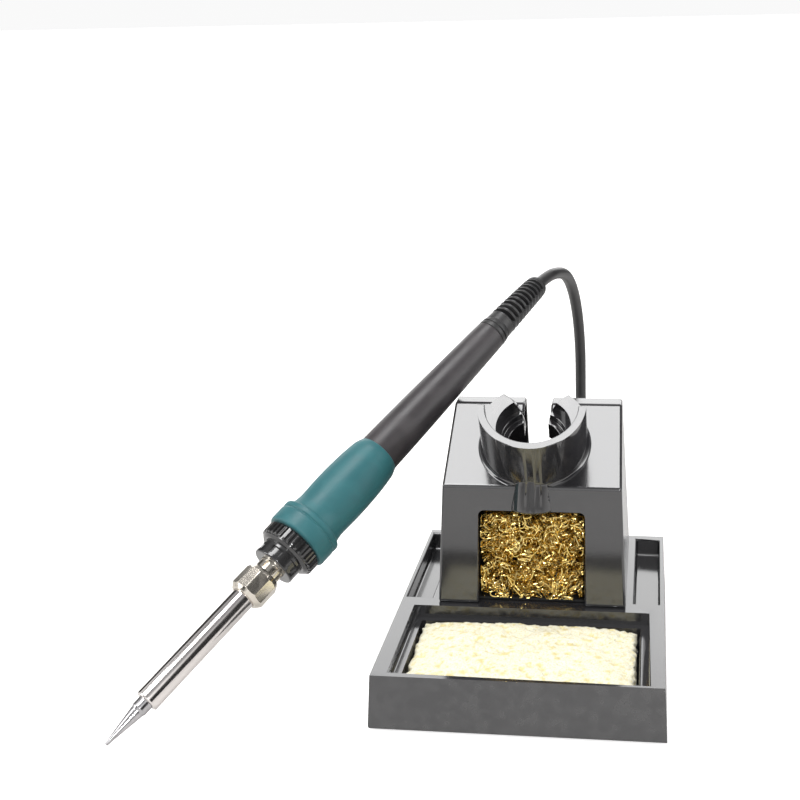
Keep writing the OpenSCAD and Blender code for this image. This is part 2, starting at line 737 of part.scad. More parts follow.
// Catmull-Rom points between the hand-placed ones
function smooth_at(p, i, t) = let (a = p[max(i - 1, 0)], b = p[i], c = p[i + 1], d = p[min(i + 2, len(p) - 1)])
    0.5 * (2 * b + (c - a) * t + (2 * a - 5 * b + 4 * c - d) * t * t + (3 * b - a - 3 * c + d) * t * t * t);
function smooth(p, n) = concat([for (i = [0 : len(p) - 2], k = [0 : n - 1]) smooth_at(p, i, k / n)], [p[len(p) - 1]]);

module cord_lead() color([0.16, 0.16, 0.17]) swept_tube(smooth(lead_route, 2), cord_d / 2, 8);

module cord_coil() color([0.16, 0.16, 0.17]) {
    translate([coil_x, coil_y, coil_lift]) rotate_extrude()
        translate([coil_r - coil_w / 2, 0]) square([coil_w, coil_h]);
}

module coil_tie() color([0.1, 0.1, 0.1]) {
    t = 0.6;
    translate([coil_x + coil_r, coil_y, coil_lift + coil_h / 2]) rotate([90, 0, 0])
        translate([0, 0, -3]) linear_extrude(6) difference() {
            square([coil_w + 2 * t + 0.8, coil_h + 2 * t], center = true);
            square([coil_w + 0.8, coil_h], center = true);
        }
}

module cord_tail() color([0.16, 0.16, 0.17]) swept_tube(smooth(tail_route, 2), cord_d / 2, 8);

module plug_boot() color([0.1, 0.1, 0.1]) plug_place() {
    difference() {
        cylinder(r1 = cord_d / 2 + 1, r2 = 5.6, h = 13.8);
        translate([0, 0, 2.6]) cylinder(r = cord_d / 2 + 0.2, h = 20);
    }
}

module plug_body() color([0.12, 0.12, 0.13]) plug_place() {
    skirt_r = 7.6;
    translate([0, 0, plug_shell_z]) difference() {
        union() {
            cylinder(r1 = skirt_r - 1.2, r2 = skirt_r, h = 2);
            translate([0, 0, 2]) cylinder(r = skirt_r, h = plug_l - 11);
            cylinder(r = plug_shell_r, h = plug_l + 4);
        }
        translate([0, 0, -1]) cylinder(r = 3, h = 5);
        translate([0, 0, 3]) cylinder(r = plug_shell_r - 1.1, h = plug_l + 9);
    }
}

module plug_ring() color([0.7, 0.7, 0.72]) plug_place() {
    z0 = plug_end_z - 8.6;
    teeth = 24;
    difference() {
        translate([0, 0, z0]) cylinder(r = plug_ring_r, h = plug_ring_l);
        translate([0, 0, z0 - 1]) cylinder(r = plug_shell_r + fit, h = plug_ring_l + 2);
        for (a = [0 : 360 / teeth : 359]) rotate(a)
            translate([plug_ring_r + 0.35, 0, z0 + 1.5]) cylinder(r = 0.75, h = plug_ring_l - 5, $fn = 16);
    }
}

module at_pins() {
    for (i = [0 : pin_count - 1]) rotate(i * 360 / (pin_count + 1)) translate([pin_circle_r, 0, 0]) children();
}

module plug_insert() color([0.85, 0.83, 0.75]) plug_place() {
    insert_l = 8;
    difference() {
        translate([0, 0, plug_end_z - insert_l]) cylinder(r = plug_shell_r - 1.12, h = insert_l);
        at_pins() cylinder(r = pin_r + 0.02, h = plug_end_z + 1, $fn = 24);
    }
}

module plug_pins() color([0.85, 0.75, 0.45]) plug_place() {
    at_pins() translate([0, 0, plug_end_z - 9]) cylinder(r = pin_r, h = 13, $fn = 24);
}

base_tray();
bottom_plate();
foot_pad();
ballast();
plate_screws();
tower();
tower_screws();
iron_holder();
holder_ring();
wool_box();
brass_wool();
sponge();
tip();
tip_sleeve();
sleeve_nut();
threaded_neck();
heater_rod();
heater_seat();
nose_boss();
ribbed_ring();
grip();
handle_shell();
terminal_board();
heater_leads();
earth_spring();
inner_cable();
cable_clamp();
rear_collar();
strain_relief();
cord_lead();
cord_coil();
coil_tie();
cord_tail();
plug_boot();
plug_body();
plug_ring();
plug_insert();
plug_pins();
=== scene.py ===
# Soldering iron station: looks for the stand, its sponge and brass wool, the iron and its cord.
import bmesh
import bpy
import json
import math
import random
from mathutils import Matrix, Vector, noise


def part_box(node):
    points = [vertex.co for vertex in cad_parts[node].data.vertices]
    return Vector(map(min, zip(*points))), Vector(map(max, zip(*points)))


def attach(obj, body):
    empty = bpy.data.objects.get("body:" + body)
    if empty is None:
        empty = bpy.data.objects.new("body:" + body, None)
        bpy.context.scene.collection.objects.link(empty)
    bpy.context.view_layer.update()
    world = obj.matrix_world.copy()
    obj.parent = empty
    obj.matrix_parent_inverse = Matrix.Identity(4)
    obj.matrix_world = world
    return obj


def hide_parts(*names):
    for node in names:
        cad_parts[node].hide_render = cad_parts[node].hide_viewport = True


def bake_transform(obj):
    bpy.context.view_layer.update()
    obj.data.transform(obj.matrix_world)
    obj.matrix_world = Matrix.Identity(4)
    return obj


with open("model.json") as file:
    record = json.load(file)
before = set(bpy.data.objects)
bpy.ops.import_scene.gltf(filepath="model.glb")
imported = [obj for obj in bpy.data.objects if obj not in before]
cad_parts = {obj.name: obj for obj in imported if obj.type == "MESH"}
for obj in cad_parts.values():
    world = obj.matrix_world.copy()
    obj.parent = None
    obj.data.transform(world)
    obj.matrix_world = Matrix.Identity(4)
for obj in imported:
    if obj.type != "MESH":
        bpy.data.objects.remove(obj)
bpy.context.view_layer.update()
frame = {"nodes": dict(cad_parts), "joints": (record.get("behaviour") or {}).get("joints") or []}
nodes = frame["nodes"]
joints = {joint["name"]: joint for joint in frame["joints"]}
mm = 0.001
print("stage: frame loaded")

# Node helpers


# Adds a shader node, sets its settings, and joins or fills its sockets
def put(tree, kind, wires=None, **settings):
    node = tree.nodes.new(kind)
    for key, value in settings.items():
        setattr(node, key, value)
    for socket, value in (wires or {}).items():
        if isinstance(value, bpy.types.NodeSocket):
            tree.links.new(value, node.inputs[socket])
        else:
            node.inputs[socket].default_value = value
    return node


def blendColor(tree, mask, first, second):
    mix = tree.nodes.new("ShaderNodeMix")
    mix.data_type = "RGBA"
    for index, value in ((0, mask), (6, first), (7, second)):
        if isinstance(value, bpy.types.NodeSocket):
            tree.links.new(value, mix.inputs[index])
        elif index:
            mix.inputs[index].default_value = (*value, 1)
        else:
            mix.inputs[index].default_value = value
    return mix.outputs[2]


def spread(tree, value, low, high):
    return put(tree, "ShaderNodeMapRange", {"Value": value, "To Min": low, "To Max": high}).outputs[0]


# Camera, lights and floor

cameraFacts = {
    "place": (0.0378, -0.4464, 0.2113),
    "yaw": 8.36,        # degrees to the left of +Y
    "pitch": 17.22,     # degrees below level
    "roll": -1.24,
    "lens": 63.0,
    "shift": (-0.0625, 0.0625),
}


def placeCamera():
    yaw, pitch, roll = (math.radians(cameraFacts[key]) for key in ("yaw", "pitch", "roll"))
    ahead = Vector((-math.sin(yaw) * math.cos(pitch), math.cos(yaw) * math.cos(pitch),
        -math.sin(pitch)))
    level = ahead.cross(Vector((0, 0, 1))).normalized()
    upright = level.cross(ahead)
    right = math.cos(roll) * level + math.sin(roll) * upright
    up = -math.sin(roll) * level + math.cos(roll) * upright
    camera = bpy.data.objects.new("camera", bpy.data.cameras.new("camera"))
    bpy.context.scene.collection.objects.link(camera)
    turn = Matrix((right, up, -ahead)).transposed().to_4x4()
    camera.matrix_world = Matrix.Translation(cameraFacts["place"]) @ turn
    camera.data.lens = cameraFacts["lens"]
    camera.data.shift_x, camera.data.shift_y = cameraFacts["shift"]
    camera.data.clip_start = 0.01
    bpy.context.scene.camera = camera


lightFacts = {
    "overhead": {"place": (-0.09, 0.03, 1.05), "aim": (0, 0.01, 0.07),
        "size": (0.50, 0.44), "watts": 4.4},
    "left": {"place": (-0.85, -0.35, 0.55), "aim": (-0.05, 0, 0.06),
        "size": (0.35, 0.9), "watts": 4.5},
    "right": {"place": (0.8, -0.1, 0.5), "aim": (0, 0, 0.06),
        "size": (0.3, 0.8), "watts": 2.6},
    "front": {"place": (0.22, -1.0, 0.62), "aim": (0, -0.02, 0.04),
        "size": (0.1, 0.1), "watts": 3.6},
    "behind": {"place": (-0.25, 1.35, 0.5), "aim": (-0.02, 0.02, 0.03),
        "size": (1.3, 0.6), "watts": 4.0},
    "panel": {"place": (-0.33, -0.36, 1.1), "aim": (-0.1, -0.06, 0.04),
        "size": (0.42, 0.42), "watts": 4.2},
}

skyFacts = {
    "strength": 0.95,
    "top": (0.35, 0.35, 0.36),
    "backdrop": (1.0, 1.0, 1.0),
    # dark gaps round the horizon: middle, half width (both in parts of a turn) and shade
    "gaps": ((0.10, 0.05, 0.05), (0.395, 0.035, 0.03), (0.62, 0.06, 0.04), (0.89, 0.03, 0.05)),
    "gapEdge": 0.012,
    "topFade": (0.55, 0.8),     # heights between which the panels give way to the top
}

floorFacts = {
    "half": 60.0,
    "color": (0.62, 0.61, 0.60),
    "glow": 0.75,       # seen by the camera only: keeps the far floor as white as the backdrop
    "rough": 0.6,
    "shine": 0.2,
}


def placeLights():
    for name, facts in lightFacts.items():
        lamp = bpy.data.lights.new(name, "AREA")
        lamp.shape = "RECTANGLE"
        lamp.size, lamp.size_y = facts["size"]
        lamp.energy = facts["watts"]
        light = bpy.data.objects.new(name, lamp)
        bpy.context.scene.collection.objects.link(light)
        light.location = facts["place"]
        aim = Vector(facts["aim"]) - Vector(facts["place"])
        light.rotation_euler = aim.to_track_quat("-Z", "Y").to_euler()


# A pale backdrop to the eye; to the metals, a studio with dark gaps between its panels
def placeSky():
    world = bpy.data.worlds.new("studio")
    bpy.context.scene.world = world
    world.use_nodes = True
    tree = world.node_tree
    where = put(tree, "ShaderNodeTexCoord").outputs["Generated"]
    around = put(tree, "ShaderNodeTexGradient", {"Vector": where}, gradient_type="RADIAL")
    ramp = put(tree, "ShaderNodeValToRGB", {"Fac": around.outputs["Fac"]})
    panels = ramp.color_ramp
    panels.elements[0].position, panels.elements[1].position = 0.0, 1.0
    panels.elements[0].color = panels.elements[1].color = (1, 1, 1, 1)
    edge = skyFacts["gapEdge"]
    for middle, half, shade in skyFacts["gaps"]:
        for turn, level in ((middle - half - edge, 1), (middle - half, shade), (middle + half, shade),
                (middle + half + edge, 1)):
            panels.elements.new(turn).color = (level, level, level, 1)
    height = put(tree, "ShaderNodeSeparateXYZ", {"Vector": where}).outputs["Z"]
    fadeLow, fadeHigh = skyFacts["topFade"]
    overhead = put(tree, "ShaderNodeMapRange", {"Value": height, "From Min": fadeLow,
        "From Max": fadeHigh})
    studio = blendColor(tree, overhead.outputs[0], ramp.outputs[0], skyFacts["top"])
    seen = put(tree, "ShaderNodeLightPath").outputs["Is Camera Ray"]
    backdrop = blendColor(tree, seen, studio, skyFacts["backdrop"])
    sky = tree.nodes["Background"]
    tree.links.new(backdrop, sky.inputs["Color"])
    sky.inputs["Strength"].default_value = skyFacts["strength"]


def placeFloor():
    half = floorFacts["half"]
    corners = [(-half, -half, 0), (half, -half, 0), (half, half, 0), (-half, half, 0)]
    mesh = bpy.data.meshes.new("floor")
    mesh.from_pydata(corners, [], [(0, 1, 2, 3)])
    floor = bpy.data.objects.new("floor", mesh)
    bpy.context.scene.collection.objects.link(floor)
    material = bpy.data.materials.new("pale_floor")
    material.use_nodes = True
    shader = material.node_tree.nodes["Principled BSDF"]
    shader.inputs["Base Color"].default_value = (*floorFacts["color"], 1)
    seen = put(material.node_tree, "ShaderNodeLightPath").outputs["Is Camera Ray"]
    material.node_tree.links.new(seen, shader.inputs["Emission Color"])
    shader.inputs["Emission Strength"].default_value = floorFacts["glow"]
    shader.inputs["Roughness"].default_value = floorFacts["rough"]
    shader.inputs["Specular IOR Level"].default_value = floorFacts["shine"]
    mesh.materials.append(material)


placeCamera()
placeLights()
placeSky()
placeFloor()
bpy.context.scene.view_settings.view_transform = "Standard"
print("stage: camera, lights and floor")

# Mesh helpers


def newObject(name, mesh, smoothAngle=35.0):
    piece = bpy.data.objects.new(name, mesh)
    bpy.context.scene.collection.objects.link(piece)
    mesh.shade_smooth()
    if smoothAngle:
        mesh.set_sharp_from_angle(angle=math.radians(smoothAngle))
    return piece


def builtObject(name, points, faces, smoothAngle=35.0):
    mesh = bpy.data.meshes.new(name)
    mesh.from_pydata([tuple(point) for point in points], [], faces)
    mesh.validate()
    bm = bmesh.new()
    bm.from_mesh(mesh)
    bmesh.ops.recalc_face_normals(bm, faces=bm.faces)
    bm.to_mesh(mesh)
    bm.free()
    return newObject(name, mesh, smoothAngle)


roundingFacts = {
    "weld": 0.002 * mm,     # points nearer than this are joined
    "flat": 0.4,            # faces that meet at less than this many degrees are joined
    "fold": 30.0,           # edges that fold more than this many degrees are rounded
    "shortest": 0.36 * mm,  # shorter edges stay as they are
    "tightest": 12.0,       # and so do edges at corners tighter than this many degrees
}


# Whether two edges leave a corner almost side by side, which leaves no room for a rounded edge
def sharpCorner(vertex):
    ways = [(edge.other_vert(vertex).co - vertex.co).normalized() for edge in vertex.link_edges]
    limit = math.cos(math.radians(roundingFacts["tightest"]))
    return any(ways[i].dot(ways[j]) > limit for i in range(len(ways)) for j in range(i))


# A copy of a CAD node with its flat faces joined up and its longer edges rounded
def softCopy(node, name, width, segments=3, shortest=roundingFacts["shortest"]):
    mesh = nodes[node].data.copy()
    mesh.materials.clear()
    bm = bmesh.new()
    bm.from_mesh(mesh)
    bmesh.ops.remove_doubles(bm, verts=bm.verts, dist=roundingFacts["weld"])
    flat, fold = math.radians(roundingFacts["flat"]), math.radians(roundingFacts["fold"])
    bmesh.ops.dissolve_limit(bm, angle_limit=flat, verts=bm.verts, edges=bm.edges)
    weights = bm.edges.layers.float.new("bevel_weight_edge")
    for edge in bm.edges:
        folded = len(edge.link_faces) == 2 and edge.calc_face_angle(0) > fold
        tight = any(sharpCorner(vertex) for vertex in edge.verts)
        edge[weights] = 1.0 if folded and not tight and edge.calc_length() > shortest else 0.0
    bm.to_mesh(mesh)
    bm.free()
    piece = newObject(name, mesh, roundingFacts["fold"])
    edgeRound = piece.modifiers.new("edgeRound", "BEVEL")
    edgeRound.width = width
    edgeRound.segments = segments
    edgeRound.limit_method = "WEIGHT"
    edgeRound.use_clamp_overlap = False
    piece.modifiers.new("evenNormals", "WEIGHTED_NORMAL").keep_sharp = True
    return piece


# Rounds the corners of an outline; a corner is (r, z) or (r, z, fillet)
def softProfile(corners, steps=5):
    made = []
    for index, corner in enumerate(corners):
        here = Vector(corner[:2])
        fillet = corner[2] if len(corner) > 2 else 0
        if not fillet or index in (0, len(corners) - 1):
            made.append(here)
            continue
        before = Vector(corners[index - 1][:2]) - here
        after = Vector(corners[index + 1][:2]) - here
        room = 0.49     # of the shorter side, so that two fillets never meet
        reach = min(fillet, before.length * room, after.length * room)
        start, end = here + before.normalized() * reach, here + after.normalized() * reach
        for step in range(steps + 1):
            t = step / steps
            made.append((1 - t) ** 2 * start + 2 * t * (1 - t) * here + t * t * end)
    return made


# Turns an outline of (r, z) points into a closed surface; reach(r, angle, z) may change a radius
def lathe(profile, sides, reach=None):
    points, faces, rings = [], [], []
    for r, z in profile:
        if r < 1e-7:
            rings.append([len(points)])
            points.append((0, 0, z))
            continue
        ring = []
        for k in range(sides):
            a = 2 * math.pi * k / sides
            q = reach(r, a, z) if reach else r
            ring.append(len(points))
            points.append((q * math.cos(a), q * math.sin(a), z))
        rings.append(ring)
    for low, high in zip(rings, rings[1:]):
        for k in range(sides):
            n = (k + 1) % sides
            if len(low) == 1 and len(high) > 1:
                faces.append((low[0], high[n], high[k]))
            elif len(high) == 1 and len(low) > 1:
                faces.append((low[k], low[n], high[0]))
            elif len(low) > 1:
                faces.append((low[k], low[n], high[n], high[k]))
    return points, faces


def closedProfile(profile):
    return list(profile) + [profile[0]]


# Faces that join each ring of points to the next one
def bandFaces(bands, count):
    faces = []
    for band in range(bands):
        low, high = band * count, (band + 1) * count
        for k in range(count):
            n = (k + 1) % count
            faces.append((low + k, low + n, high + n, high + k))
    return faces


# Sweeps a ring of (u, v) offsets along a path with no twist, and closes both ends
def sweep(path, ring):
    points = []
    count = len(ring)
    side = None
    for index, here in enumerate(path):
        ahead = (path[min(index + 1, len(path) - 1)] - path[max(index - 1, 0)]).normalized()
        if side is None:
            side = ahead.orthogonal().normalized()
        side = (side - ahead * side.dot(ahead)).normalized()
        other = ahead.cross(side)
        for u, v in ring:
            points.append(here + (side * u + other * v))
    faces = bandFaces(len(path) - 1, count)
    faces.append(tuple(range(count - 1, -1, -1)))
    faces.append(tuple((len(path) - 1) * count + k for k in range(count)))
    return points, faces


def circleRing(r, sides):
    angles = [2 * math.pi * k / sides for k in range(sides)]
    return [(r * math.cos(a), r * math.sin(a)) for a in angles]


# Catmull-Rom points between the given ones
def smoothPath(route, steps):
    made = []
    last = len(route) - 1
    for index in range(last):
        a, b = route[max(index - 1, 0)], route[index]
        c, d = route[index + 1], route[min(index + 2, last)]
        for step in range(steps):
            t = step / steps
            made.append(0.5 * (2 * b + (c - a) * t + (2 * a - 5 * b + 4 * c - d) * t * t
                               + (3 * b - a - 3 * c + d) * t ** 3))
    made.append(route[last])
    return made


def settle(piece, body, slotName, material, *replaced):
    piece.data.materials.clear()
    piece.data.materials.append(material)
    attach(piece, body)
    if replaced:
        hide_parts(*replaced)
    return piece


def dress(node, material):
    piece = nodes[node]
    if not piece.material_slots:
        piece.data.materials.append(material)
    for used in piece.material_slots:
        used.material = material


def ease(t):
    t = max(0.0, min(1.0, t))
    return t * t * (3 - 2 * t)


# Shared shader groups


def newGroup(name, inputs, outputs):
    group = bpy.data.node_groups.new(name, "ShaderNodeTree")
    for label, kind, value in inputs:
        socket = group.interface.new_socket(label, in_out="INPUT", socket_type=kind)
        if value is not None:
            socket.default_value = value
    for label, kind in outputs:
        group.interface.new_socket(label, in_out="OUTPUT", socket_type=kind)
    return group, group.nodes.new("NodeGroupInput"), group.nodes.new("NodeGroupOutput")


# Fine moulded or cast grain: a height, and a mask for colour and gloss
def makeGrain():
    group, given, made = newGroup("mouldedGrain",
        [("Vector", "NodeSocketVector", None), ("Scale", "NodeSocketFloat", 900.0)],
        [("Height", "NodeSocketFloat"), ("Mask", "NodeSocketFloat")])
    where, scale = given.outputs["Vector"], given.outputs["Scale"]
    fine = put(group, "ShaderNodeTexNoise", {"Vector": where, "Scale": scale, "Detail": 3.0,
        "Roughness": 0.6})
    cells = put(group, "ShaderNodeTexVoronoi", {"Vector": where, "Scale": scale}, feature="SMOOTH_F1")
    both = put(group, "ShaderNodeMath", {0: fine.outputs["Fac"], 1: cells.outputs["Distance"]},
        operation="ADD")
    group.links.new(both.outputs[0], made.inputs["Height"])
    group.links.new(fine.outputs["Fac"], made.inputs["Mask"])
    return group


# Handling marks: broad smears and a few thin scratches
def makeHandling():
    group, given, made = newGroup("handlingMarks",
        [("Vector", "NodeSocketVector", None), ("Scale", "NodeSocketFloat", 40.0),
            ("Scratches", "NodeSocketFloat", 0.5)],
        [("Smear", "NodeSocketFloat"), ("Scratch", "NodeSocketFloat")])
    where = given.outputs["Vector"]
    broad = put(group, "ShaderNodeTexNoise", {"Vector": where, "Scale": given.outputs["Scale"],
        "Detail": 5.0, "Roughness": 0.55, "Distortion": 0.6})
    smear = put(group, "ShaderNodeMapRange", {"Value": broad.outputs["Fac"], "From Min": 0.35,
        "From Max": 0.7})
    stretch = put(group, "ShaderNodeMapping", {"Vector": where, "Rotation": (0.3, 0.5, 0.9),
        "Scale": (60.0, 900.0, 700.0)})
    thin = put(group, "ShaderNodeTexNoise", {"Vector": stretch.outputs[0], "Scale": 1.0,
        "Detail": 2.0})
    cut = put(group, "ShaderNodeMapRange", {"Value": thin.outputs["Fac"], "From Min": 0.69,
        "From Max": 0.74})
    scratch = put(group, "ShaderNodeMath", {0: cut.outputs[0], 1: given.outputs["Scratches"]},
        operation="MULTIPLY")
    group.links.new(smear.outputs[0], made.inputs["Smear"])
    group.links.new(scratch.outputs[0], made.inputs["Scratch"])
    return group


# Worn edges, broken up by noise
def makeEdgeWear():
    group, given, made = newGroup("edgeWear",
        [("Vector", "NodeSocketVector", None), ("Amount", "NodeSocketFloat", 0.5)],
        [("Mask", "NodeSocketFloat")])
    shape = put(group, "ShaderNodeNewGeometry")
    edge = put(group, "ShaderNodeMapRange", {"Value": shape.outputs["Pointiness"], "From Min": 0.53,
        "From Max": 0.62})
    rub = put(group, "ShaderNodeTexNoise", {"Vector": given.outputs["Vector"], "Scale": 260.0,
        "Detail": 4.0})
    rubbed = put(group, "ShaderNodeMapRange", {"Value": rub.outputs["Fac"], "From Min": 0.42,
        "From Max": 0.62})
    worn = put(group, "ShaderNodeMath", {0: edge.outputs[0], 1: rubbed.outputs[0]},
        operation="MULTIPLY")
    amount = put(group, "ShaderNodeMath", {0: worn.outputs[0], 1: given.outputs["Amount"]},
        operation="MULTIPLY")
    group.links.new(amount.outputs[0], made.inputs["Mask"])
    return group


grainGroup = makeGrain()
handlingGroup = makeHandling()
edgeWearGroup = makeEdgeWear()


# A material with grain, handling marks and worn edges; facts holds what sets one finish apart
def makeFinish(name, facts):
    material = bpy.data.materials.new(name)
    material.use_nodes = True
    tree = material.node_tree
    shader = tree.nodes["Principled BSDF"]
    where = put(tree, "ShaderNodeTexCoord").outputs["Object"]
    grain = put(tree, "ShaderNodeGroup", {"Vector": where, "Scale": facts["grain"]},
        node_tree=grainGroup)
    marks = put(tree, "ShaderNodeGroup", {"Vector": where, "Scale": facts.get("smear", 40.0),
        "Scratches": facts.get("scratches", 0.4)}, node_tree=handlingGroup)
    wear = put(tree, "ShaderNodeGroup", {"Vector": where, "Amount": facts.get("wear", 0.4)},
        node_tree=edgeWearGroup)
    color = blendColor(tree, marks.outputs["Smear"], facts["color"], facts["shade"])
    color = blendColor(tree, wear.outputs["Mask"], color, facts.get("worn", facts["shade"]))
    tree.links.new(color, shader.inputs["Base Color"])
    low, high = facts["rough"]
    gloss = spread(tree, marks.outputs["Smear"], low, high)
    dulled = spread(tree, marks.outputs["Scratch"], 0.0, 0.18)
    gloss = put(tree, "ShaderNodeMath", {0: gloss, 1: dulled}, operation="ADD", use_clamp=True)
    uneven = spread(tree, grain.outputs["Mask"], -0.03, 0.03)
    gloss = put(tree, "ShaderNodeMath", {0: gloss.outputs[0], 1: uneven}, operation="ADD",
        use_clamp=True)
    tree.links.new(gloss.outputs[0], shader.inputs["Roughness"])
    cut = spread(tree, marks.outputs["Scratch"], 0.0, -1.2)
    height = put(tree, "ShaderNodeMath", {0: grain.outputs["Height"], 1: cut},
        operation="ADD").outputs[0]
    bump = put(tree, "ShaderNodeBump", {"Strength": facts.get("bump", 0.1), "Distance": 0.1 * mm,
        "Height": height})
    tree.links.new(bump.outputs[0], shader.inputs["Normal"])
    shader.inputs["Metallic"].default_value = facts.get("metal", 0.0)
    shader.inputs["IOR"].default_value = facts.get("ior", 1.5)
    shader.inputs["Coat Weight"].default_value = facts.get("coat", 0.0)
    shader.inputs["Coat Roughness"].default_value = facts.get("coatRough", 0.05)
    shader.inputs["Sheen Weight"].default_value = facts.get("sheen", 0.0)
    return material


# Finishes

finishes = {
    "standGloss": {"color": (0.020, 0.020, 0.022), "shade": (0.0235, 0.023, 0.0245),
        "worn": (0.10, 0.10, 0.10),
        "rough": (0.12, 0.16), "ior": 1.9, "grain": 1400.0, "bump": 0.02, "smear": 26.0,
        "wear": 0.2,
        "scratches": 0.06},
    "holderGloss": {"color": (0.019, 0.019, 0.021), "shade": (0.024, 0.023, 0.024),
        "worn": (0.14, 0.13, 0.12),
        "rough": (0.07, 0.11), "ior": 1.9, "grain": 1300.0, "bump": 0.008, "smear": 60.0,
        "wear": 0.2,
        "scratches": 0.2},
    "plateSteel": {"color": (0.16, 0.16, 0.17), "shade": (0.11, 0.11, 0.115), "rough": (0.4, 0.55),
        "grain": 1100.0, "bump": 0.15, "metal": 0.6},
    "padRubber": {"color": (0.03, 0.03, 0.032), "shade": (0.045, 0.044, 0.043),
        "rough": (0.75, 0.9),
        "grain": 900.0, "bump": 0.4},
    "ballastSteel": {"color": (0.33, 0.33, 0.34), "shade": (0.25, 0.25, 0.26), "rough": (0.35, 0.5),
        "grain": 700.0, "bump": 0.2, "metal": 1.0},
    "screwSteel": {"color": (0.62, 0.61, 0.58), "shade": (0.5, 0.49, 0.46), "rough": (0.22, 0.38),
        "grain": 1500.0, "bump": 0.08, "metal": 1.0},
    "innerBlack": {"color": (0.012, 0.012, 0.012), "shade": (0.02, 0.019, 0.018),
        "rough": (0.55, 0.7),
        "grain": 1200.0, "bump": 0.15},
    "tipTin": {"color": (0.55, 0.54, 0.55), "shade": (0.36, 0.355, 0.36), "worn": (0.7, 0.7, 0.7),
        "rough": (0.14, 0.26), "grain": 1800.0, "bump": 0.03, "metal": 1.0, "smear": 260.0,
        "scratches": 0.3},
    "sleeveChrome": {"color": (0.80, 0.76, 0.735), "shade": (0.74, 0.70, 0.68),
        "rough": (0.10, 0.16),
        "grain": 2500.0, "bump": 0.015, "metal": 1.0, "smear": 90.0, "scratches": 0.25},
    "nutNickel": {"color": (0.74, 0.69, 0.61), "shade": (0.66, 0.61, 0.53),
        "worn": (0.86, 0.83, 0.77),
        "rough": (0.15, 0.24), "grain": 2400.0, "bump": 0.04, "metal": 1.0, "smear": 220.0},
    "ceramic": {"color": (0.82, 0.78, 0.68), "shade": (0.72, 0.68, 0.6), "rough": (0.5, 0.65),
        "grain": 1800.0, "bump": 0.12},
    "noseBlack": {"color": (0.014, 0.014, 0.015), "shade": (0.022, 0.022, 0.022),
        "worn": (0.12, 0.12, 0.12),
        "rough": (0.12, 0.2), "ior": 1.6, "grain": 1800.0, "bump": 0.03, "smear": 180.0,
        "coat": 0.5},
    "gripRubber": {"color": (0.010, 0.098, 0.112), "shade": (0.013, 0.120, 0.134),
        "worn": (0.03, 0.17, 0.185),
        "rough": (0.42, 0.55), "ior": 1.5, "grain": 2600.0, "bump": 0.22, "smear": 110.0,
        "wear": 0.3,
        "sheen": 0.1},
    "handleCharcoal": {"color": (0.030, 0.026, 0.028), "shade": (0.042, 0.037, 0.039),
        "worn": (0.11, 0.10, 0.10),
        "rough": (0.36, 0.48), "ior": 1.5, "grain": 2400.0, "bump": 0.16, "smear": 90.0,
        "wear": 0.3},
    "boardGreen": {"color": (0.02, 0.12, 0.045), "shade": (0.03, 0.16, 0.06), "rough": (0.3, 0.4),
        "grain": 1500.0, "bump": 0.05},
    "insulation": {"color": (0.6, 0.55, 0.42), "shade": (0.5, 0.45, 0.35), "rough": (0.5, 0.6),
        "grain": 1500.0, "bump": 0.08},
    "bootRubber": {"color": (0.018, 0.018, 0.019), "shade": (0.028, 0.027, 0.027),
        "worn": (0.07, 0.07, 0.07),
        "rough": (0.34, 0.48), "grain": 2400.0, "bump": 0.15, "smear": 140.0, "wear": 0.35},
    "cordSheath": {"color": (0.022, 0.022, 0.023), "shade": (0.034, 0.033, 0.033),
        "worn": (0.06, 0.06, 0.06),
        "rough": (0.3, 0.42), "grain": 2600.0, "bump": 0.12, "smear": 120.0, "wear": 0.1},
    "tieFabric": {"color": (0.016, 0.016, 0.017), "shade": (0.03, 0.03, 0.03), "rough": (0.8, 0.95),
        "grain": 1500.0, "bump": 0.5, "sheen": 0.4},
    "plugPlastic": {"color": (0.02, 0.02, 0.021), "shade": (0.03, 0.03, 0.03),
        "worn": (0.1, 0.1, 0.1),
        "rough": (0.3, 0.42), "grain": 1800.0, "bump": 0.1},
    "couplingMetal": {"color": (0.5, 0.5, 0.5), "shade": (0.4, 0.4, 0.4),
        "worn": (0.75, 0.75, 0.75),
        "rough": (0.2, 0.32), "grain": 2000.0, "bump": 0.06, "metal": 1.0},
    "pinGold": {"color": (0.78, 0.57, 0.22), "shade": (0.68, 0.48, 0.18), "rough": (0.15, 0.25),
        "grain": 2000.0, "bump": 0.03, "metal": 1.0},
}
made = {name: makeFinish(name, facts) for name, facts in finishes.items()}
print("stage: finishes")

# Cord

cordFacts = {
    "diameter": 0.0045,     # metres; the rest is in millimetres
    "sides": 20,
    "coilCenter": (-5.0, 118.0),
    "coilLift": 0.6,
    "turnRadii": (29.5, 25.0, 20.5, 20.5, 25.0, 29.5),      # three turns below, three above
    # in parts of a turn: where a turn moves over to the next radius, over how much, and how far
    # the coil's two ends take to join it
    "shiftFrom": 0.82, "shiftOver": 0.18, "joinSideways": 0.22, "joinDown": 0.1, "leaveOver": 0.15,
    "stepsPerTurn": 48,
    "routeSteps": 6,
    # from the strain relief to the coil
    "leadRoute": [(-5, 72, 113.4), (-2, 81, 115), (1, 90, 115.5), (4, 101, 113.5), (6, 112, 108),
        (7.5, 122, 99), (8.5, 131, 87), (9, 138, 73), (9, 143.5, 57), (9, 147, 41), (8.5, 149.8, 26),
        (6.5, 151.6, 14), (2, 152.5, 6.5), (-4, 152.5, 3.2)],
    # from the coil to the connector
    "tailRoute": [(-34.5, 112, 7), (-34.5, 104, 5), (-34, 96, 3.4), (-31.5, 88, 3), (-27, 81.5, 4),
        (-20.5, 77, 6.5), (-12, 76, 8.4)],
}


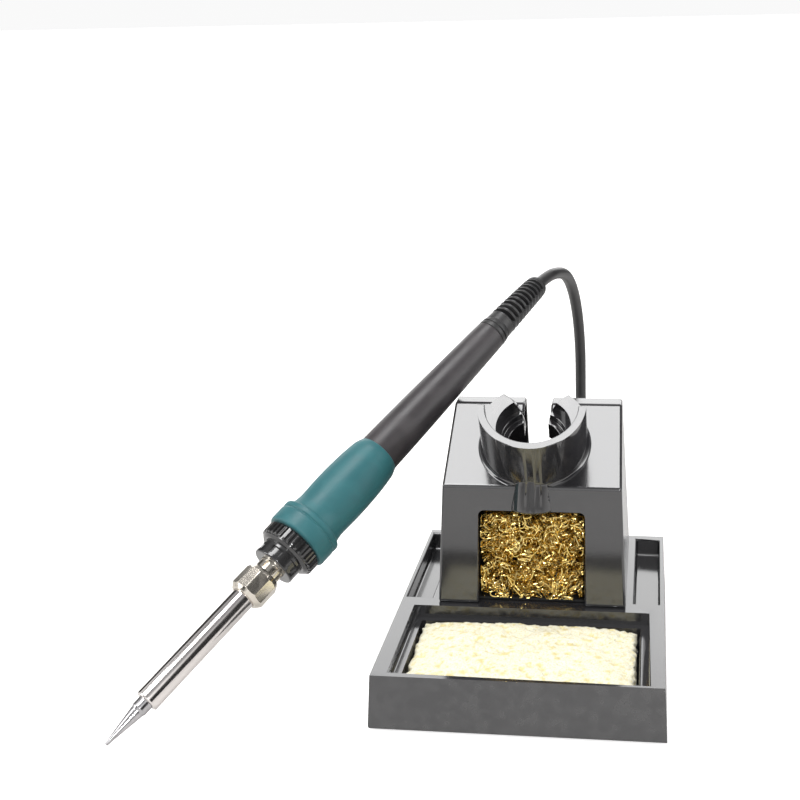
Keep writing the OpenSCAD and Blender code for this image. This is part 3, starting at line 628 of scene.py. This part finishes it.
# The coil's turns: three on the floor and three on top of them, joined to the routes at both ends
def coilPath():
    centerX, centerY = cordFacts["coilCenter"]
    thick = cordFacts["diameter"] / mm
    leadX, leadY, leadZ = cordFacts["leadRoute"][-1]
    tailX, tailY, tailZ = cordFacts["tailRoute"][0]
    radii = cordFacts["turnRadii"]
    startAngle = math.atan2(leadY - centerY, leadX - centerX)
    endAngle = math.atan2(tailY - centerY, tailX - centerX) % (2 * math.pi)
    startReach = math.hypot(leadX - centerX, leadY - centerY) - radii[0]
    endReach = math.hypot(tailX - centerX, tailY - centerY) - radii[-1]
    lowZ = cordFacts["coilLift"] + thick / 2
    turns = len(radii) - 1 + (endAngle - startAngle) / (2 * math.pi)
    steps = int(turns * cordFacts["stepsPerTurn"])
    leaveOver = cordFacts["leaveOver"]
    path = []
    for step in range(1, steps):
        t = turns * step / steps
        turn, part = int(t), t - int(t)
        change = ease((part - cordFacts["shiftFrom"]) / cordFacts["shiftOver"])
        following = radii[min(turn + 1, len(radii) - 1)]
        r = radii[turn] + (following - radii[turn]) * change
        joining = 1 - ease(t / cordFacts["joinSideways"])
        leaving = ease((t - turns + leaveOver) / leaveOver)
        r += startReach * joining + endReach * leaving
        layer = 0 if turn < 2 else (change if turn == 2 else 1)
        z = lowZ + thick * layer
        dropping = 1 - ease(t / cordFacts["joinDown"])
        z += (leadZ - lowZ) * dropping + (tailZ - lowZ - thick) * leaving
        a = startAngle + 2 * math.pi * t
        path.append(Vector((centerX + r * math.cos(a), centerY + r * math.sin(a), z)))
    return path


def makeCord():
    steps = cordFacts["routeSteps"]
    lead = smoothPath([Vector(point) for point in cordFacts["leadRoute"]], steps)
    tail = smoothPath([Vector(point) for point in cordFacts["tailRoute"]], steps)
    path = [point * mm for point in lead + coilPath() + tail]
    r = cordFacts["diameter"] / 2
    points, faces = sweep(path, circleRing(r, cordFacts["sides"]))
    cord = builtObject("cord_sheath_run", points, faces)
    cord.data.materials.append(made["cordSheath"])
    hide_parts("cord_lead", "cord_coil", "cord_tail")
    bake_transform(cord)


# Stand

# widths of the rounded edges
standFacts = {
    "baseEdge": 0.7 * mm,
    "towerEdge": 0.8 * mm,
    "smallEdge": 0.3 * mm,
    "holderEdge": 0.22 * mm,
    "holderShortest": 0.3 * mm,
}


def makeStand():
    base = softCopy("base_tray", "base_moulding", standFacts["baseEdge"])
    settle(base, "stand", "moulding_black", made["standGloss"], "base_tray")
    tower = softCopy("tower", "tower_shell", standFacts["towerEdge"])
    settle(tower, "stand", "moulding_black", made["standGloss"], "tower")
    box = softCopy("wool_box", "wool_box_shell", standFacts["smallEdge"])
    settle(box, "stand", "inner_black", made["innerBlack"], "wool_box")
    dress("bottom_plate", made["plateSteel"])
    dress("foot_pad", made["padRubber"])
    dress("ballast", made["ballastSteel"])
    dress("plate_screws", made["screwSteel"])
    dress("tower_screws", made["screwSteel"])
    dress("holder_ring", made["innerBlack"])


def makeHolder():
    holder = softCopy("iron_holder", "holder_collar", standFacts["holderEdge"], 2,
        standFacts["holderShortest"])
    settle(holder, "stand", "holder_black", made["holderGloss"], "iron_holder")


makeStand()
makeHolder()
print("stage: stand")

# Iron

axisDir = Vector(joints["nut_turn"]["axis"]).normalized()
axisPoint = Vector(joints["nut_turn"]["pos_m"])
acrossDir = Vector((0, 0, 1)).cross(axisDir).normalized()
ironMatrix = Matrix((acrossDir.cross(axisDir), acrossDir, axisDir)).transposed().to_4x4()
ironMatrix.translation = axisPoint


# First and last station of a node along the iron, and its largest radius there
def measure(node):
    stations, radii = [], []
    for vertex in nodes[node].data.vertices:
        offset = vertex.co - axisPoint
        station = offset.dot(axisDir)
        stations.append(station)
        radii.append((offset - axisDir * station).length)
    return min(stations), max(stations), max(radii)


def onIron(name, points, faces, smoothAngle=35.0):
    return builtObject(name, [ironMatrix @ Vector(point) for point in points], faces, smoothAngle)


# A piece turned about the iron's axis from a closed outline
def turnedPiece(name, profile, sides, reach=None, smoothAngle=35.0):
    points, faces = lathe(closedProfile(profile), sides, reach)
    return onIron(name, points, faces, smoothAngle)


# The iron's pieces, with their values in millimetres

tipFacts = {
    "endRadius": 0.5,
    "coneRadius": 1.0, "taperRadius": 2.2, "shankRadius": 2.6,
    # in parts of the length that shows
    "coneEnd": 0.22, "taperEnd": 0.74, "shoulderStart": 0.78, "shoulderEnd": 0.82,
    "hidden": 3,            # length inside the sleeve
    "sides": 64,
}


def makeTip():
    start = measure("tip")[0]
    sleeveStart = measure("tip_sleeve")[0]
    shown = sleeveStart - start
    shank, hidden = tipFacts["shankRadius"] * mm, tipFacts["hidden"] * mm
    taper = tipFacts["taperRadius"] * mm
    profile = softProfile([(0, start), (tipFacts["endRadius"] * mm, start, 0.3 * mm),
        (tipFacts["coneRadius"] * mm, start + shown * tipFacts["coneEnd"], 0.5 * mm),
        (taper, start + shown * tipFacts["taperEnd"], 1 * mm),
        (taper + 0.05 * mm, start + shown * tipFacts["shoulderStart"], 0.2 * mm),
        (shank, start + shown * tipFacts["shoulderEnd"], 0.2 * mm), (shank, sleeveStart + hidden),
        (0, sleeveStart + hidden)])
    points, faces = lathe(profile, tipFacts["sides"])
    tip = onIron("tip_cone", points, faces)
    settle(tip, "iron", "tip_metal", made["tipTin"], "tip")


sleeveFacts = {"radius": 4, "bore": 2.75, "lip": 1.5, "boreDepth": 4, "underNut": 3.2, "sides": 96}


def makeSleeve():
    start = measure("tip_sleeve")[0]
    end = measure("sleeve_nut")[0] + sleeveFacts["underNut"] * mm
    r, bore = sleeveFacts["radius"] * mm, sleeveFacts["bore"] * mm
    profile = softProfile([(bore, start + sleeveFacts["boreDepth"] * mm), (bore, start, 0.2 * mm),
        (r, start, sleeveFacts["lip"] * mm), (r, end), (bore, end)])
    sleeve = turnedPiece("sleeve_tube", profile, sleeveFacts["sides"])
    settle(sleeve, "iron", "sleeve_chrome", made["sleeveChrome"], "tip_sleeve")


nutFacts = {
    "facets": 10,
    "flatStart": 1.5, "flatEnd": 1.7,       # round collars before and after the flats
    "bore": 4.12, "rearBore": 5.0, "rearDepth": 2,
    "cutAbove": 4.4,                        # only wider radii get flats
    "sides": 240,
}


def makeNut():
    start, end, r = measure("sleeve_nut")
    bore, rearBore = nutFacts["bore"] * mm, nutFacts["rearBore"] * mm
    flatStart, flatEnd = start + nutFacts["flatStart"] * mm, end - nutFacts["flatEnd"] * mm

    def facet(q, a, z):
        part = 2 * math.pi / nutFacts["facets"]
        inner = math.cos(part / 2)
        flat = r * inner / math.cos((a % part) - part / 2)
        return min(q, flat) if q > nutFacts["cutAbove"] * mm else q

    profile = softProfile([(bore, start + 1 * mm), (bore, start, 0.2 * mm),
        (r - 1.3 * mm, start, 0.3 * mm), (r - 0.15 * mm, flatStart, 0.3 * mm),
        (r, flatStart + 0.2 * mm), (r, flatEnd - 0.2 * mm), (r - 0.2 * mm, flatEnd, 0.2 * mm),
        (r - 1.0 * mm, end, 0.3 * mm), (rearBore, end, 0.2 * mm),
        (rearBore, end - nutFacts["rearDepth"] * mm)])
    nut = turnedPiece("nut_body", profile, nutFacts["sides"], facet, 18)
    settle(nut, "nut", "nut_nickel", made["nutNickel"], "sleeve_nut")


neckFacts = {
    "radius": 4.5, "bore": 3.65, "boreDepth": 4,
    "slots": 8, "slotDepth": 0.55, "slotHalf": 0.16,        # half width in parts of the pitch
    "slotStart": 0.7, "slotEnd": 0.35,                      # gaps to the nut and to the nose
    "sides": 192,
}


def makeNeck():
    start, end, _ = measure("threaded_neck")
    nutEnd = measure("sleeve_nut")[1]
    noseStart = measure("nose_boss")[0]
    slotStart, slotEnd = nutEnd + neckFacts["slotStart"] * mm, noseStart - neckFacts["slotEnd"] * mm
    r, bore = neckFacts["radius"] * mm, neckFacts["bore"] * mm
    boreStart = start + neckFacts["boreDepth"] * mm
    step = 0.05 * mm        # how quickly a slot drops off at its ends

    def castle(q, a, z):
        part = 2 * math.pi / neckFacts["slots"]
        inSlot = abs((a % part) - part / 2) < part * neckFacts["slotHalf"]
        return q - neckFacts["slotDepth"] * mm if inSlot and slotStart < z < slotEnd else q

    stations = [boreStart, nutEnd - 1 * mm, slotStart - step, slotStart + step, slotEnd - step,
        slotEnd + step, end]
    profile = [(r, station) for station in stations] + [(bore, end), (bore, boreStart)]
    neck = turnedPiece("neck_castellated", profile, neckFacts["sides"], castle, 25)
    settle(neck, "iron", "nut_nickel", made["nutNickel"], "threaded_neck")


noseFacts = {
    "radius": 7.65, "bore": 4.55, "rearBore": 5.2, "boreDepth": 2,
    "flats": 6, "flatDepth": 0.75, "flatHalf": 0.24,        # half width in parts of the pitch
    "flatStart": 1.5, "flatEnd": 1.2,                       # gaps to the front and to the ribbed ring
    "sides": 180,
}


def makeNose():
    start = measure("nose_boss")[0]
    ringStart = measure("ribbed_ring")[0]
    r, bore, rearBore = (noseFacts[key] * mm for key in ("radius", "bore", "rearBore"))
    flatStart, flatEnd = start + noseFacts["flatStart"] * mm, ringStart - noseFacts["flatEnd"] * mm
    boreStart, end = start + noseFacts["boreDepth"] * mm, ringStart - 0.05 * mm
    step = 0.05 * mm        # how quickly a flat drops off at its ends

    def flats(q, a, z):
        part = 2 * math.pi / noseFacts["flats"]
        inFlat = abs((a % part) - part / 2) < part * noseFacts["flatHalf"]
        return q - noseFacts["flatDepth"] * mm if inFlat and flatStart < z < flatEnd else q

    profile = softProfile([(bore, boreStart), (bore, start, 0.2 * mm), (r, start, 0.5 * mm),
        (r, flatStart - step), (r, flatStart + step), (r, flatEnd - step), (r, flatEnd + step),
        (r, end), (rearBore, end), (rearBore, boreStart)])
    nose = turnedPiece("nose_flats", profile, noseFacts["sides"], flats, 25)
    settle(nose, "iron", "nose_black", made["noseBlack"], "nose_boss")


ringFacts = {
    "ribs": 36, "ribDepth": 0.75, "bore": 7.15,
    "ribStart": 1.0, "ribEnd": 0.2,         # plain ends before and after the ribs
    "station": 0.22,                        # spacing of the rings of points under the ribs
    "sidesPerRib": 12,
}


def makeRibbedRing():
    start, end, r = measure("ribbed_ring")
    root, bore = r - ringFacts["ribDepth"] * mm, ringFacts["bore"] * mm
    ribStart, ribEnd = start + ringFacts["ribStart"] * mm, end - ringFacts["ribEnd"] * mm
    station = ringFacts["station"] * mm

    def ribbed(q, a, z):
        if q < root - 0.05 * mm or not ribStart < z < ribEnd:
            return q
        wave = 0.5 + 0.5 * math.cos(a * ringFacts["ribs"])
        rise = ease((z - ribStart) / (0.7 * mm)) * ease((ribEnd - z) / (0.4 * mm))
        return root + (r - root) * rise * ease((wave - 0.25) / 0.5)

    front = softProfile([(bore, start), (root - 1.0 * mm, start, 0.3 * mm),
        (root, start + 0.85 * mm)])
    count = int((end - ribStart) / station)
    body = [(root, start + 0.9 * mm + station * k) for k in range(count)]
    rear = [(root, end - 0.1 * mm), (root - 0.3 * mm, end), (bore, end)]
    sides = ringFacts["ribs"] * ringFacts["sidesPerRib"]
    ring = turnedPiece("ring_ribs", [(bore, start)] + front + body + rear, sides, ribbed, 30)
    settle(ring, "front_ring", "nose_black", made["noseBlack"], "ribbed_ring")


gripFacts = {
    "flangeLength": 8.6,
    "grooveFromBack": 2.3, "grooveHalf": 0.5, "grooveDepth": 0.45,
    "neck": 9.3, "swell": 0.4, "swellAt": 0.55,         # the swell's middle, in parts of the length
    "rear": 8.05, "bore": 7.12,
    "sides": 128, "cornerSteps": 8,
}


def makeGrip():
    start, end, r = measure("grip")
    neck, rear, bore = (gripFacts[key] * mm for key in ("neck", "rear", "bore"))
    flange = start + gripFacts["flangeLength"] * mm
    groove = flange - gripFacts["grooveFromBack"] * mm
    half, depth = gripFacts["grooveHalf"] * mm, gripFacts["grooveDepth"] * mm
    widest = start + (end - start) * gripFacts["swellAt"]
    profile = softProfile([(bore, start + 1 * mm), (bore, start, 0.2 * mm), (r, start, 1.2 * mm),
        (r, groove - half, 0.3 * mm), (r - depth, groove, 0.5 * mm), (r, groove + half, 0.3 * mm),
        (r, flange, 1.1 * mm), (neck + 0.7 * mm, flange + 0.1 * mm, 0.8 * mm),
        (neck, flange + 4 * mm, 3 * mm), (neck + gripFacts["swell"] * mm, widest, 9 * mm),
        (neck, end - 9 * mm, 5 * mm), (rear + 0.55 * mm, end - 2.4 * mm, 1.4 * mm),
        (rear - 0.4 * mm, end, 0.5 * mm), (bore, end, 0.1 * mm), (bore, end - 1 * mm)],
        gripFacts["cornerSteps"])
    grip = turnedPiece("grip_sleeve", profile, gripFacts["sides"], None, 40)
    settle(grip, "iron", "grip_teal", made["gripRubber"], "grip")


handleFacts = {
    "front": 7.5, "rear": 5.7,
    "waist": 0.35, "waistAt": 0.3,      # how much it narrows, and where in parts of the length that shows
    "underGrip": 7.05, "bore": 5.6, "rearBore": 4.3, "rearDepth": 8,
    "sides": 128, "cornerSteps": 8,
}


def makeHandle():
    gripEnd = measure("grip")[1]
    start, end, _ = measure("handle_shell")
    front, rear, bore, rearBore, under = (handleFacts[key] * mm for key in ("front", "rear", "bore",
        "rearBore", "underGrip"))
    waist = gripEnd + (end - gripEnd) * handleFacts["waistAt"]
    profile = softProfile([(bore, start), (under, start), (under, gripEnd - 0.2 * mm),
        (front, gripEnd - 0.1 * mm, 0.3 * mm), (front - handleFacts["waist"] * mm, waist, 9 * mm),
        (rear + 0.15 * mm, end - 3 * mm, 4 * mm), (rear, end, 0.3 * mm), (rearBore, end),
        (rearBore, end - handleFacts["rearDepth"] * mm), (bore, gripEnd)], handleFacts["cornerSteps"])
    handle = turnedPiece("handle_tube", profile, handleFacts["sides"], None, 40)
    settle(handle, "iron", "handle_charcoal", made["handleCharcoal"], "handle_shell")


collarFacts = {
    "bore": 2.3, "grooveDepth": 0.5,
    "grooveAt": 0.48,       # in parts of the length
    "sides": 96,
}


def makeCollar():
    start, end, r = measure("rear_collar")
    middle = start + (end - start) * collarFacts["grooveAt"]
    bore, root = collarFacts["bore"] * mm, r - collarFacts["grooveDepth"] * mm
    profile = softProfile([(bore, start), (r, start, 0.25 * mm), (r, middle - 0.35 * mm, 0.25 * mm),
        (root, middle - 0.2 * mm, 0.1 * mm), (root, middle + 0.1 * mm, 0.1 * mm),
        (r - 0.1 * mm, middle + 0.25 * mm, 0.3 * mm), (root, end, 0.3 * mm), (bore, end)])
    collar = turnedPiece("collar_rings", profile, collarFacts["sides"], None, 30)
    settle(collar, "iron", "boot_rubber", made["bootRubber"], "rear_collar")


bootFacts = {
    "length": 29.0,
    "bend": 27.0, "roll": 51.0,     # the bend, and its direction about the iron's axis, in degrees
    "frontRadius": 5.2, "rearRadius": 4.1,
    "pitch": 2.35, "slots": 10, "firstSlot": 3.2,
    "slotWidth": 1.15, "slotDepth": 2.2,
    "slotSpread": 60.0,             # half of a slot's reach round the sleeve, in degrees
    "slotTurn": -20.0,              # middle of the front row of slots, in degrees
    "swell": 0.12, "edgeRound": 0.45,
    "sides": 144, "rings": 240,
}


# The strain relief: a bent, tapered sleeve with two rows of slots, half a pitch apart
def makeBoot():
    start = measure("rear_collar")[1] - 0.2 * mm
    length, bend = bootFacts["length"] * mm, math.radians(bootFacts["bend"])
    roll = math.radians(bootFacts["roll"])
    radius = length / bend
    sides, rings = bootFacts["sides"], bootFacts["rings"]
    pitch, firstSlot = bootFacts["pitch"], bootFacts["firstSlot"]
    soft = bootFacts["edgeRound"] * mm
    cordR = cordFacts["diameter"] / 2
    points = []

    def outer(z):
        t = z / length
        front, rear = bootFacts["frontRadius"], bootFacts["rearRadius"]
        return (front + (rear - front) * t) * mm

    def inSlot(a, z):
        deepest = 0.0
        for row in (0, 1):
            turn = math.degrees(a) - bootFacts["slotTurn"] - 180.0 * row
            away = abs((turn + 180.0) % 360.0 - 180.0)
            across = ease((bootFacts["slotSpread"] - away) / 5.0 + 0.5)
            first = firstSlot + row * pitch / 2
            index = round((z / mm - first) / pitch)
            if not 0 <= index < bootFacts["slots"]:
                continue
            offset = abs(z / mm - first - index * pitch)
            along = ease((bootFacts["slotWidth"] / 2 - offset) / 0.22 + 0.5)
            deepest = max(deepest, across * along)
        return deepest

    def bent(r, a, z):
        turn = bend * z / length
        x, y = r * math.cos(a), r * math.sin(a)
        local = Vector((radius * (1 - math.cos(turn)) + x * math.cos(turn), y,
            radius * math.sin(turn) - x * math.sin(turn)))
        return Vector((local.x * math.cos(roll) - local.y * math.sin(roll),
            local.x * math.sin(roll) + local.y * math.cos(roll), start + local.z))

    for ring in range(rings + 1):
        z = length * ring / rings
        edge = min(z, length - z)
        curve = 0.0 if edge > soft else soft - math.sqrt(max(soft ** 2 - (soft - edge) ** 2, 0))
        wave = math.cos(2 * math.pi * (z / mm - firstSlot - pitch / 2) / pitch)
        swell = bootFacts["swell"] * mm * wave
        for k in range(sides):
            a = 2 * math.pi * k / sides
            r = outer(z) - curve - inSlot(a, z) * bootFacts["slotDepth"] * mm
            if firstSlot * mm < z < length - 1.5 * mm:
                r += swell
            points.append(bent(r, a, z))
    faces = bandFaces(rings, sides)
    for z, ring in ((0, 0), (length, rings)):
        base = len(points)
        for k in range(sides):
            points.append(bent(cordR, 2 * math.pi * k / sides, z))
        for k in range(sides):
            n = (k + 1) % sides
            faces.append((ring * sides + k, ring * sides + n, base + n, base + k))
    first, last = len(points) - 2 * sides, len(points) - sides
    for k in range(sides):
        n = (k + 1) % sides
        faces.append((first + k, first + n, last + n, last + k))
    boot = onIron("relief_sleeve", points, faces, 40)
    settle(boot, "iron", "boot_rubber", made["bootRubber"], "strain_relief")


insideFinishes = {
    "heater_rod": "ceramic", "heater_seat": "ceramic", "terminal_board": "boardGreen",
    "heater_leads": "insulation", "earth_spring": "screwSteel", "inner_cable": "cordSheath",
    "cable_clamp": "innerBlack",
}

makeTip()
makeSleeve()
makeNut()
makeNeck()
makeNose()
makeRibbedRing()
makeGrip()
makeHandle()
makeCollar()
makeBoot()
for node, finish in insideFinishes.items():
    dress(node, made[finish])
print("stage: iron")

# Connector and tie


# node, piece, finish, slot, width of the rounded edges in millimetres, body
connectorPieces = (
    ("plug_boot", "connector_boot", "bootRubber", "boot_rubber", 0.4, "stand"),
    ("plug_body", "connector_body", "plugPlastic", "plug_black", 0.3, "stand"),
    ("plug_ring", "connector_ring", "couplingMetal", "coupling_metal", 0.15, "coupling"),
    ("plug_insert", "connector_insert", "ceramic", "ceramic_white", 0.12, "stand"),
    ("plug_pins", "connector_pins", "pinGold", "pin_gold", 0.12, "stand"),
)


def makeConnector():
    for node, name, finish, slotName, edge, body in connectorPieces:
        piece = softCopy(node, name, edge * mm, 2)
        settle(piece, body, slotName, made[finish], node)


tieFacts = {"width": 6.0, "thick": 0.7, "corner": 1.6, "cornerSteps": 6}       # millimetres


# The hook-and-loop strap round the coil: a flat band on an outline with rounded corners
def makeTie():
    low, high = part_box("coil_tie")
    middle = (low + high) / 2
    half, thick = tieFacts["width"] / 2 * mm, tieFacts["thick"] / 2 * mm
    halfW, halfH = (high.x - low.x) / 2 - thick, (high.z - low.z) / 2 - thick
    corner, steps = tieFacts["corner"] * mm, tieFacts["cornerSteps"]
    path = []
    for cx, cz, first in ((1, 1, 0), (-1, 1, 90), (-1, -1, 180), (1, -1, 270)):
        for step in range(steps + 1):
            a = math.radians(first + 90 / steps * step)
            path.append(Vector((middle.x + cx * (halfW - corner) + corner * math.cos(a), middle.y,
                middle.z + cz * (halfH - corner) + corner * math.sin(a))))
    points, faces = [], []
    count = len(path)
    for index, here in enumerate(path):
        out = Vector((here.x - middle.x, 0, here.z - middle.z)).normalized()
        for side, level in ((-1, -1), (1, -1), (1, 1), (-1, 1)):
            points.append(here + Vector((0, side * half, 0)) + out * level * thick)
    for index in range(count):
        after = (index + 1) % count
        for k in range(4):
            n = (k + 1) % 4
            faces.append((index * 4 + k, index * 4 + n, after * 4 + n, after * 4 + k))
    tie = builtObject("coil_strap", points, faces, 30)
    settle(tie, "stand", "tie_black", made["tieFabric"], "coil_tie")


makeConnector()
makeTie()
makeCord()
print("stage: connector, tie and cord")

# Sponge

spongeFacts = {
    "cell": 0.62,           # mesh spacing, millimetres
    "corner": 1.2,
    "crown": 2.3,           # how far the middle stands above the edges
    "wave": 0.7,
    "ragged": 0.9,          # unevenness of the cut edges
    "rough": 0.16,
    "poreScales": ((4.4, 1.0), (2.3, 0.55)),     # spacing and depth of the pores
    "poreReach": 0.34, "poreWall": 0.16,         # in parts of a pore's spacing
    "seed": Vector((11.3, 4.7, 2.9)),
    "creams": ((0.79, 0.75, 0.57), (0.82, 0.80, 0.655)),
    # painted shade: a darker, yellower colour for the small pits of the bump
    "fineHoleShade": (0.76, 0.66, 0.38),
    # painted shade: a darker colour for the sunk pores
    "poreShadeColor": (0.70, 0.60, 0.28),
}


def makeSpongeFinish():
    material = bpy.data.materials.new("spongeCellulose")
    material.use_nodes = True
    tree = material.node_tree
    shader = tree.nodes["Principled BSDF"]
    where = put(tree, "ShaderNodeTexCoord").outputs["Object"]
    pore = put(tree, "ShaderNodeAttribute", attribute_name="pore").outputs["Fac"]
    fine = put(tree, "ShaderNodeTexVoronoi", {"Vector": where, "Scale": 1500.0}, feature="SMOOTH_F1")
    tiny = put(tree, "ShaderNodeTexNoise", {"Vector": where, "Scale": 2600.0, "Detail": 3.0})
    tint = put(tree, "ShaderNodeTexNoise", {"Vector": where, "Scale": 60.0, "Detail": 4.0})
    light = blendColor(tree, tint.outputs["Fac"], *spongeFacts["creams"])
    # painted shade: the middle of each fine cell, where the bump dips, gets the darker pit colour
    holes = put(tree, "ShaderNodeMapRange", {"Value": fine.outputs["Distance"], "From Min": 0.12,
        "From Max": 0.42}).outputs[0]
    holeShaded = blendColor(tree, holes, spongeFacts["fineHoleShade"], light)
    # painted shade: the pores that the mesh sinks are darkened by their depth
    color = blendColor(tree, pore, holeShaded, spongeFacts["poreShadeColor"])
    tree.links.new(color, shader.inputs["Base Color"])
    tree.links.new(spread(tree, tiny.outputs["Fac"], 0.75, 0.95), shader.inputs["Roughness"])
    height = put(tree, "ShaderNodeMath", {0: fine.outputs["Distance"], 1: tiny.outputs["Fac"]},
        operation="ADD")
    bump = put(tree, "ShaderNodeBump", {"Strength": 0.6, "Distance": 0.35 * mm,
        "Height": height.outputs[0]})
    tree.links.new(bump.outputs[0], shader.inputs["Normal"])
    shader.inputs["Sheen Weight"].default_value = 0.15
    return material


# Points and faces of a block's surface, split into cells of about the given size
def blockSurface(low, high, cell):
    bm = bmesh.new()
    size = high - low
    counts = [max(2, round(length / cell)) for length in size]
    for axis in range(3):
        u, v = (axis + 1) % 3, (axis + 2) % 3
        for side in (0, 1):
            grid = []
            for i in range(counts[u] + 1):
                row = []
                for j in range(counts[v] + 1):
                    point = Vector(low)
                    point[axis] = low[axis] + side * size[axis]
                    point[u] = low[u] + size[u] * i / counts[u]
                    point[v] = low[v] + size[v] * j / counts[v]
                    row.append(bm.verts.new(point))
                grid.append(row)
            for i in range(counts[u]):
                for j in range(counts[v]):
                    bm.faces.new((grid[i][j], grid[i + 1][j], grid[i + 1][j + 1], grid[i][j + 1]))
    bmesh.ops.remove_doubles(bm, verts=bm.verts, dist=cell * 0.1)
    bmesh.ops.recalc_face_normals(bm, faces=bm.faces)
    return bm


# How deep in a pore of this spacing a point lies, from 0 to 1
def poreDent(seed, spacing):
    near = noise.voronoi(seed / spacing)[0][0]
    return ease((spongeFacts["poreReach"] - near) / spongeFacts["poreWall"])


def makeSponge():
    low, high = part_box("sponge")
    middle, size = (low + high) / 2, high - low
    bm = blockSurface(low, high, spongeFacts["cell"] * mm)
    corner = spongeFacts["corner"] * mm
    for vertex in bm.verts:
        spot = vertex.co.copy()
        # round the block's edges and corners
        inner = Vector([max(low[i] + corner, min(high[i] - corner, spot[i])) for i in range(3)])
        out = spot - inner
        normal = Vector((0, 0, 1))
        if out.length > 1e-9:
            normal = out.normalized()
            spot = inner + normal * corner
        # sink the pores
        seed = spot / mm + spongeFacts["seed"]
        depth = 0.0
        for spacing, deep in spongeFacts["poreScales"]:
            depth = max(depth, poreDent(seed, spacing) * deep)
        rough = noise.fractal(seed * 0.9, 0.8, 2.0, 3) * spongeFacts["rough"]
        spot -= normal * (depth + rough) * mm
        # raise the middle
        u = (spot.x - middle.x) / (size.x / 2)
        v = (spot.y - middle.y) / (size.y / 2)
        top = max(0.0, (spot.z - low.z) / size.z)
        bulge = spongeFacts["crown"] * (1 - u ** 4) * (1 - 0.55 * v ** 4)
        wave = noise.noise(Vector((seed.x * 0.11, seed.y * 0.13, 3.1))) * spongeFacts["wave"]
        spot.z += top * (bulge + wave) * mm
        # fray the cut sides
        edge = max(abs(u), abs(v)) ** 8
        torn = noise.noise(seed * 0.42) * spongeFacts["ragged"] + noise.noise(seed * 1.1) * 0.35
        sideways = Vector((normal.x, normal.y, 0))
        spot += sideways * (min(torn, 0.5) - 0.2) * edge * mm
        spot.z += torn * edge * top * 0.7 * mm
        spot.z = max(spot.z, low.z)
        vertex.co = spot
    mesh = bpy.data.meshes.new("sponge_cellulose")
    bm.verts.index_update()
    bm.to_mesh(mesh)
    bm.free()
    # the pore depth, which the finish uses to paint shade into the pores
    hollows = mesh.attributes.new("pore", "FLOAT", "POINT")
    spacings = [spacing for spacing, _ in spongeFacts["poreScales"]]
    for vertex in mesh.vertices:
        seed = vertex.co / mm + spongeFacts["seed"]
        hollows.data[vertex.index].value = max(poreDent(seed, spacing) for spacing in spacings)
    sponge = newObject("sponge_cellulose", mesh, 0)
    settle(sponge, "sponge_pad", "sponge_cream", makeSpongeFinish(), "sponge")


# Brass wool

woolFacts = {
    "curls": 1250, "seed": 7,
    "radius": (0.8, 2.6), "drift": (0.6, 2.4), "ribbon": (0.34, 0.06),      # millimetres
    "turns": (0.7, 2.2), "squeeze": (0.55, 1.0),
    "rings": 26, "inset": 0.35, "leastStep": 0.05,
    "brasses": ((0.76, 0.50, 0.12), (1.0, 0.84, 0.38)),
}


def makeWoolFinish():
    material = bpy.data.materials.new("brassTurnings")
    material.use_nodes = True
    tree = material.node_tree
    shader = tree.nodes["Principled BSDF"]
    where = put(tree, "ShaderNodeTexCoord").outputs["Object"]
    patch = put(tree, "ShaderNodeTexNoise", {"Vector": where, "Scale": 420.0, "Detail": 3.0})
    color = blendColor(tree, patch.outputs["Fac"], *woolFacts["brasses"])
    tree.links.new(color, shader.inputs["Base Color"])
    streak = put(tree, "ShaderNodeTexNoise", {"Vector": where, "Scale": 3000.0, "Detail": 2.0})
    tree.links.new(spread(tree, streak.outputs["Fac"], 0.10, 0.30), shader.inputs["Roughness"])
    bump = put(tree, "ShaderNodeBump", {"Strength": 0.25, "Distance": 0.05 * mm,
        "Height": streak.outputs["Fac"]})
    tree.links.new(bump.outputs[0], shader.inputs["Normal"])
    shader.inputs["Metallic"].default_value = 1.0
    return material


def makeWool():
    low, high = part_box("brass_wool")
    chance = random.Random(woolFacts["seed"])
    wide, thin = (size / 2 * mm for size in woolFacts["ribbon"])
    ring = [(-wide, -thin), (wide, -thin), (wide, thin), (-wide, thin)]
    inset = woolFacts["inset"] * mm
    limits = [(low[i] + inset, high[i] - inset) for i in range(3)]
    points, faces = [], []
    for _ in range(woolFacts["curls"]):
        middle = Vector([chance.uniform(low[i], high[i]) for i in range(3)])
        middle.y = low.y + (high.y - low.y) * chance.random() ** 1.5     # more of them near the front
        axis = Vector([chance.gauss(0, 1) for _ in range(3)]).normalized()
        side = axis.orthogonal().normalized()
        other = axis.cross(side)
        r = chance.uniform(*woolFacts["radius"]) * mm
        turns = chance.uniform(*woolFacts["turns"])
        drift = chance.uniform(*woolFacts["drift"]) * mm
        phase, squeeze = chance.uniform(0, 6.28), chance.uniform(*woolFacts["squeeze"])
        path = []
        for step in range(woolFacts["rings"]):
            t = step / (woolFacts["rings"] - 1)
            a = phase + 2 * math.pi * turns * t
            spot = (middle + side * r * math.cos(a) + other * r * squeeze * math.sin(a)
                + axis * drift * turns * (t - 0.5))
            path.append(Vector([max(limits[i][0], min(limits[i][1], spot[i])) for i in range(3)]))
        clean = [path[0]]
        for spot in path[1:]:
            if (spot - clean[-1]).length > woolFacts["leastStep"] * mm:
                clean.append(spot)
        if len(clean) < 5:
            continue
        newPoints, newFaces = sweep(clean, ring)
        base = len(points)
        points += newPoints
        faces += [tuple(base + index for index in face) for face in newFaces]
    wool = builtObject("wool_curls", points, faces, 50)
    settle(wool, "wool", "wool_brass", makeWoolFinish(), "brass_wool")


makeSponge()
print("stage: sponge")
makeWool()
print("stage: brass wool")
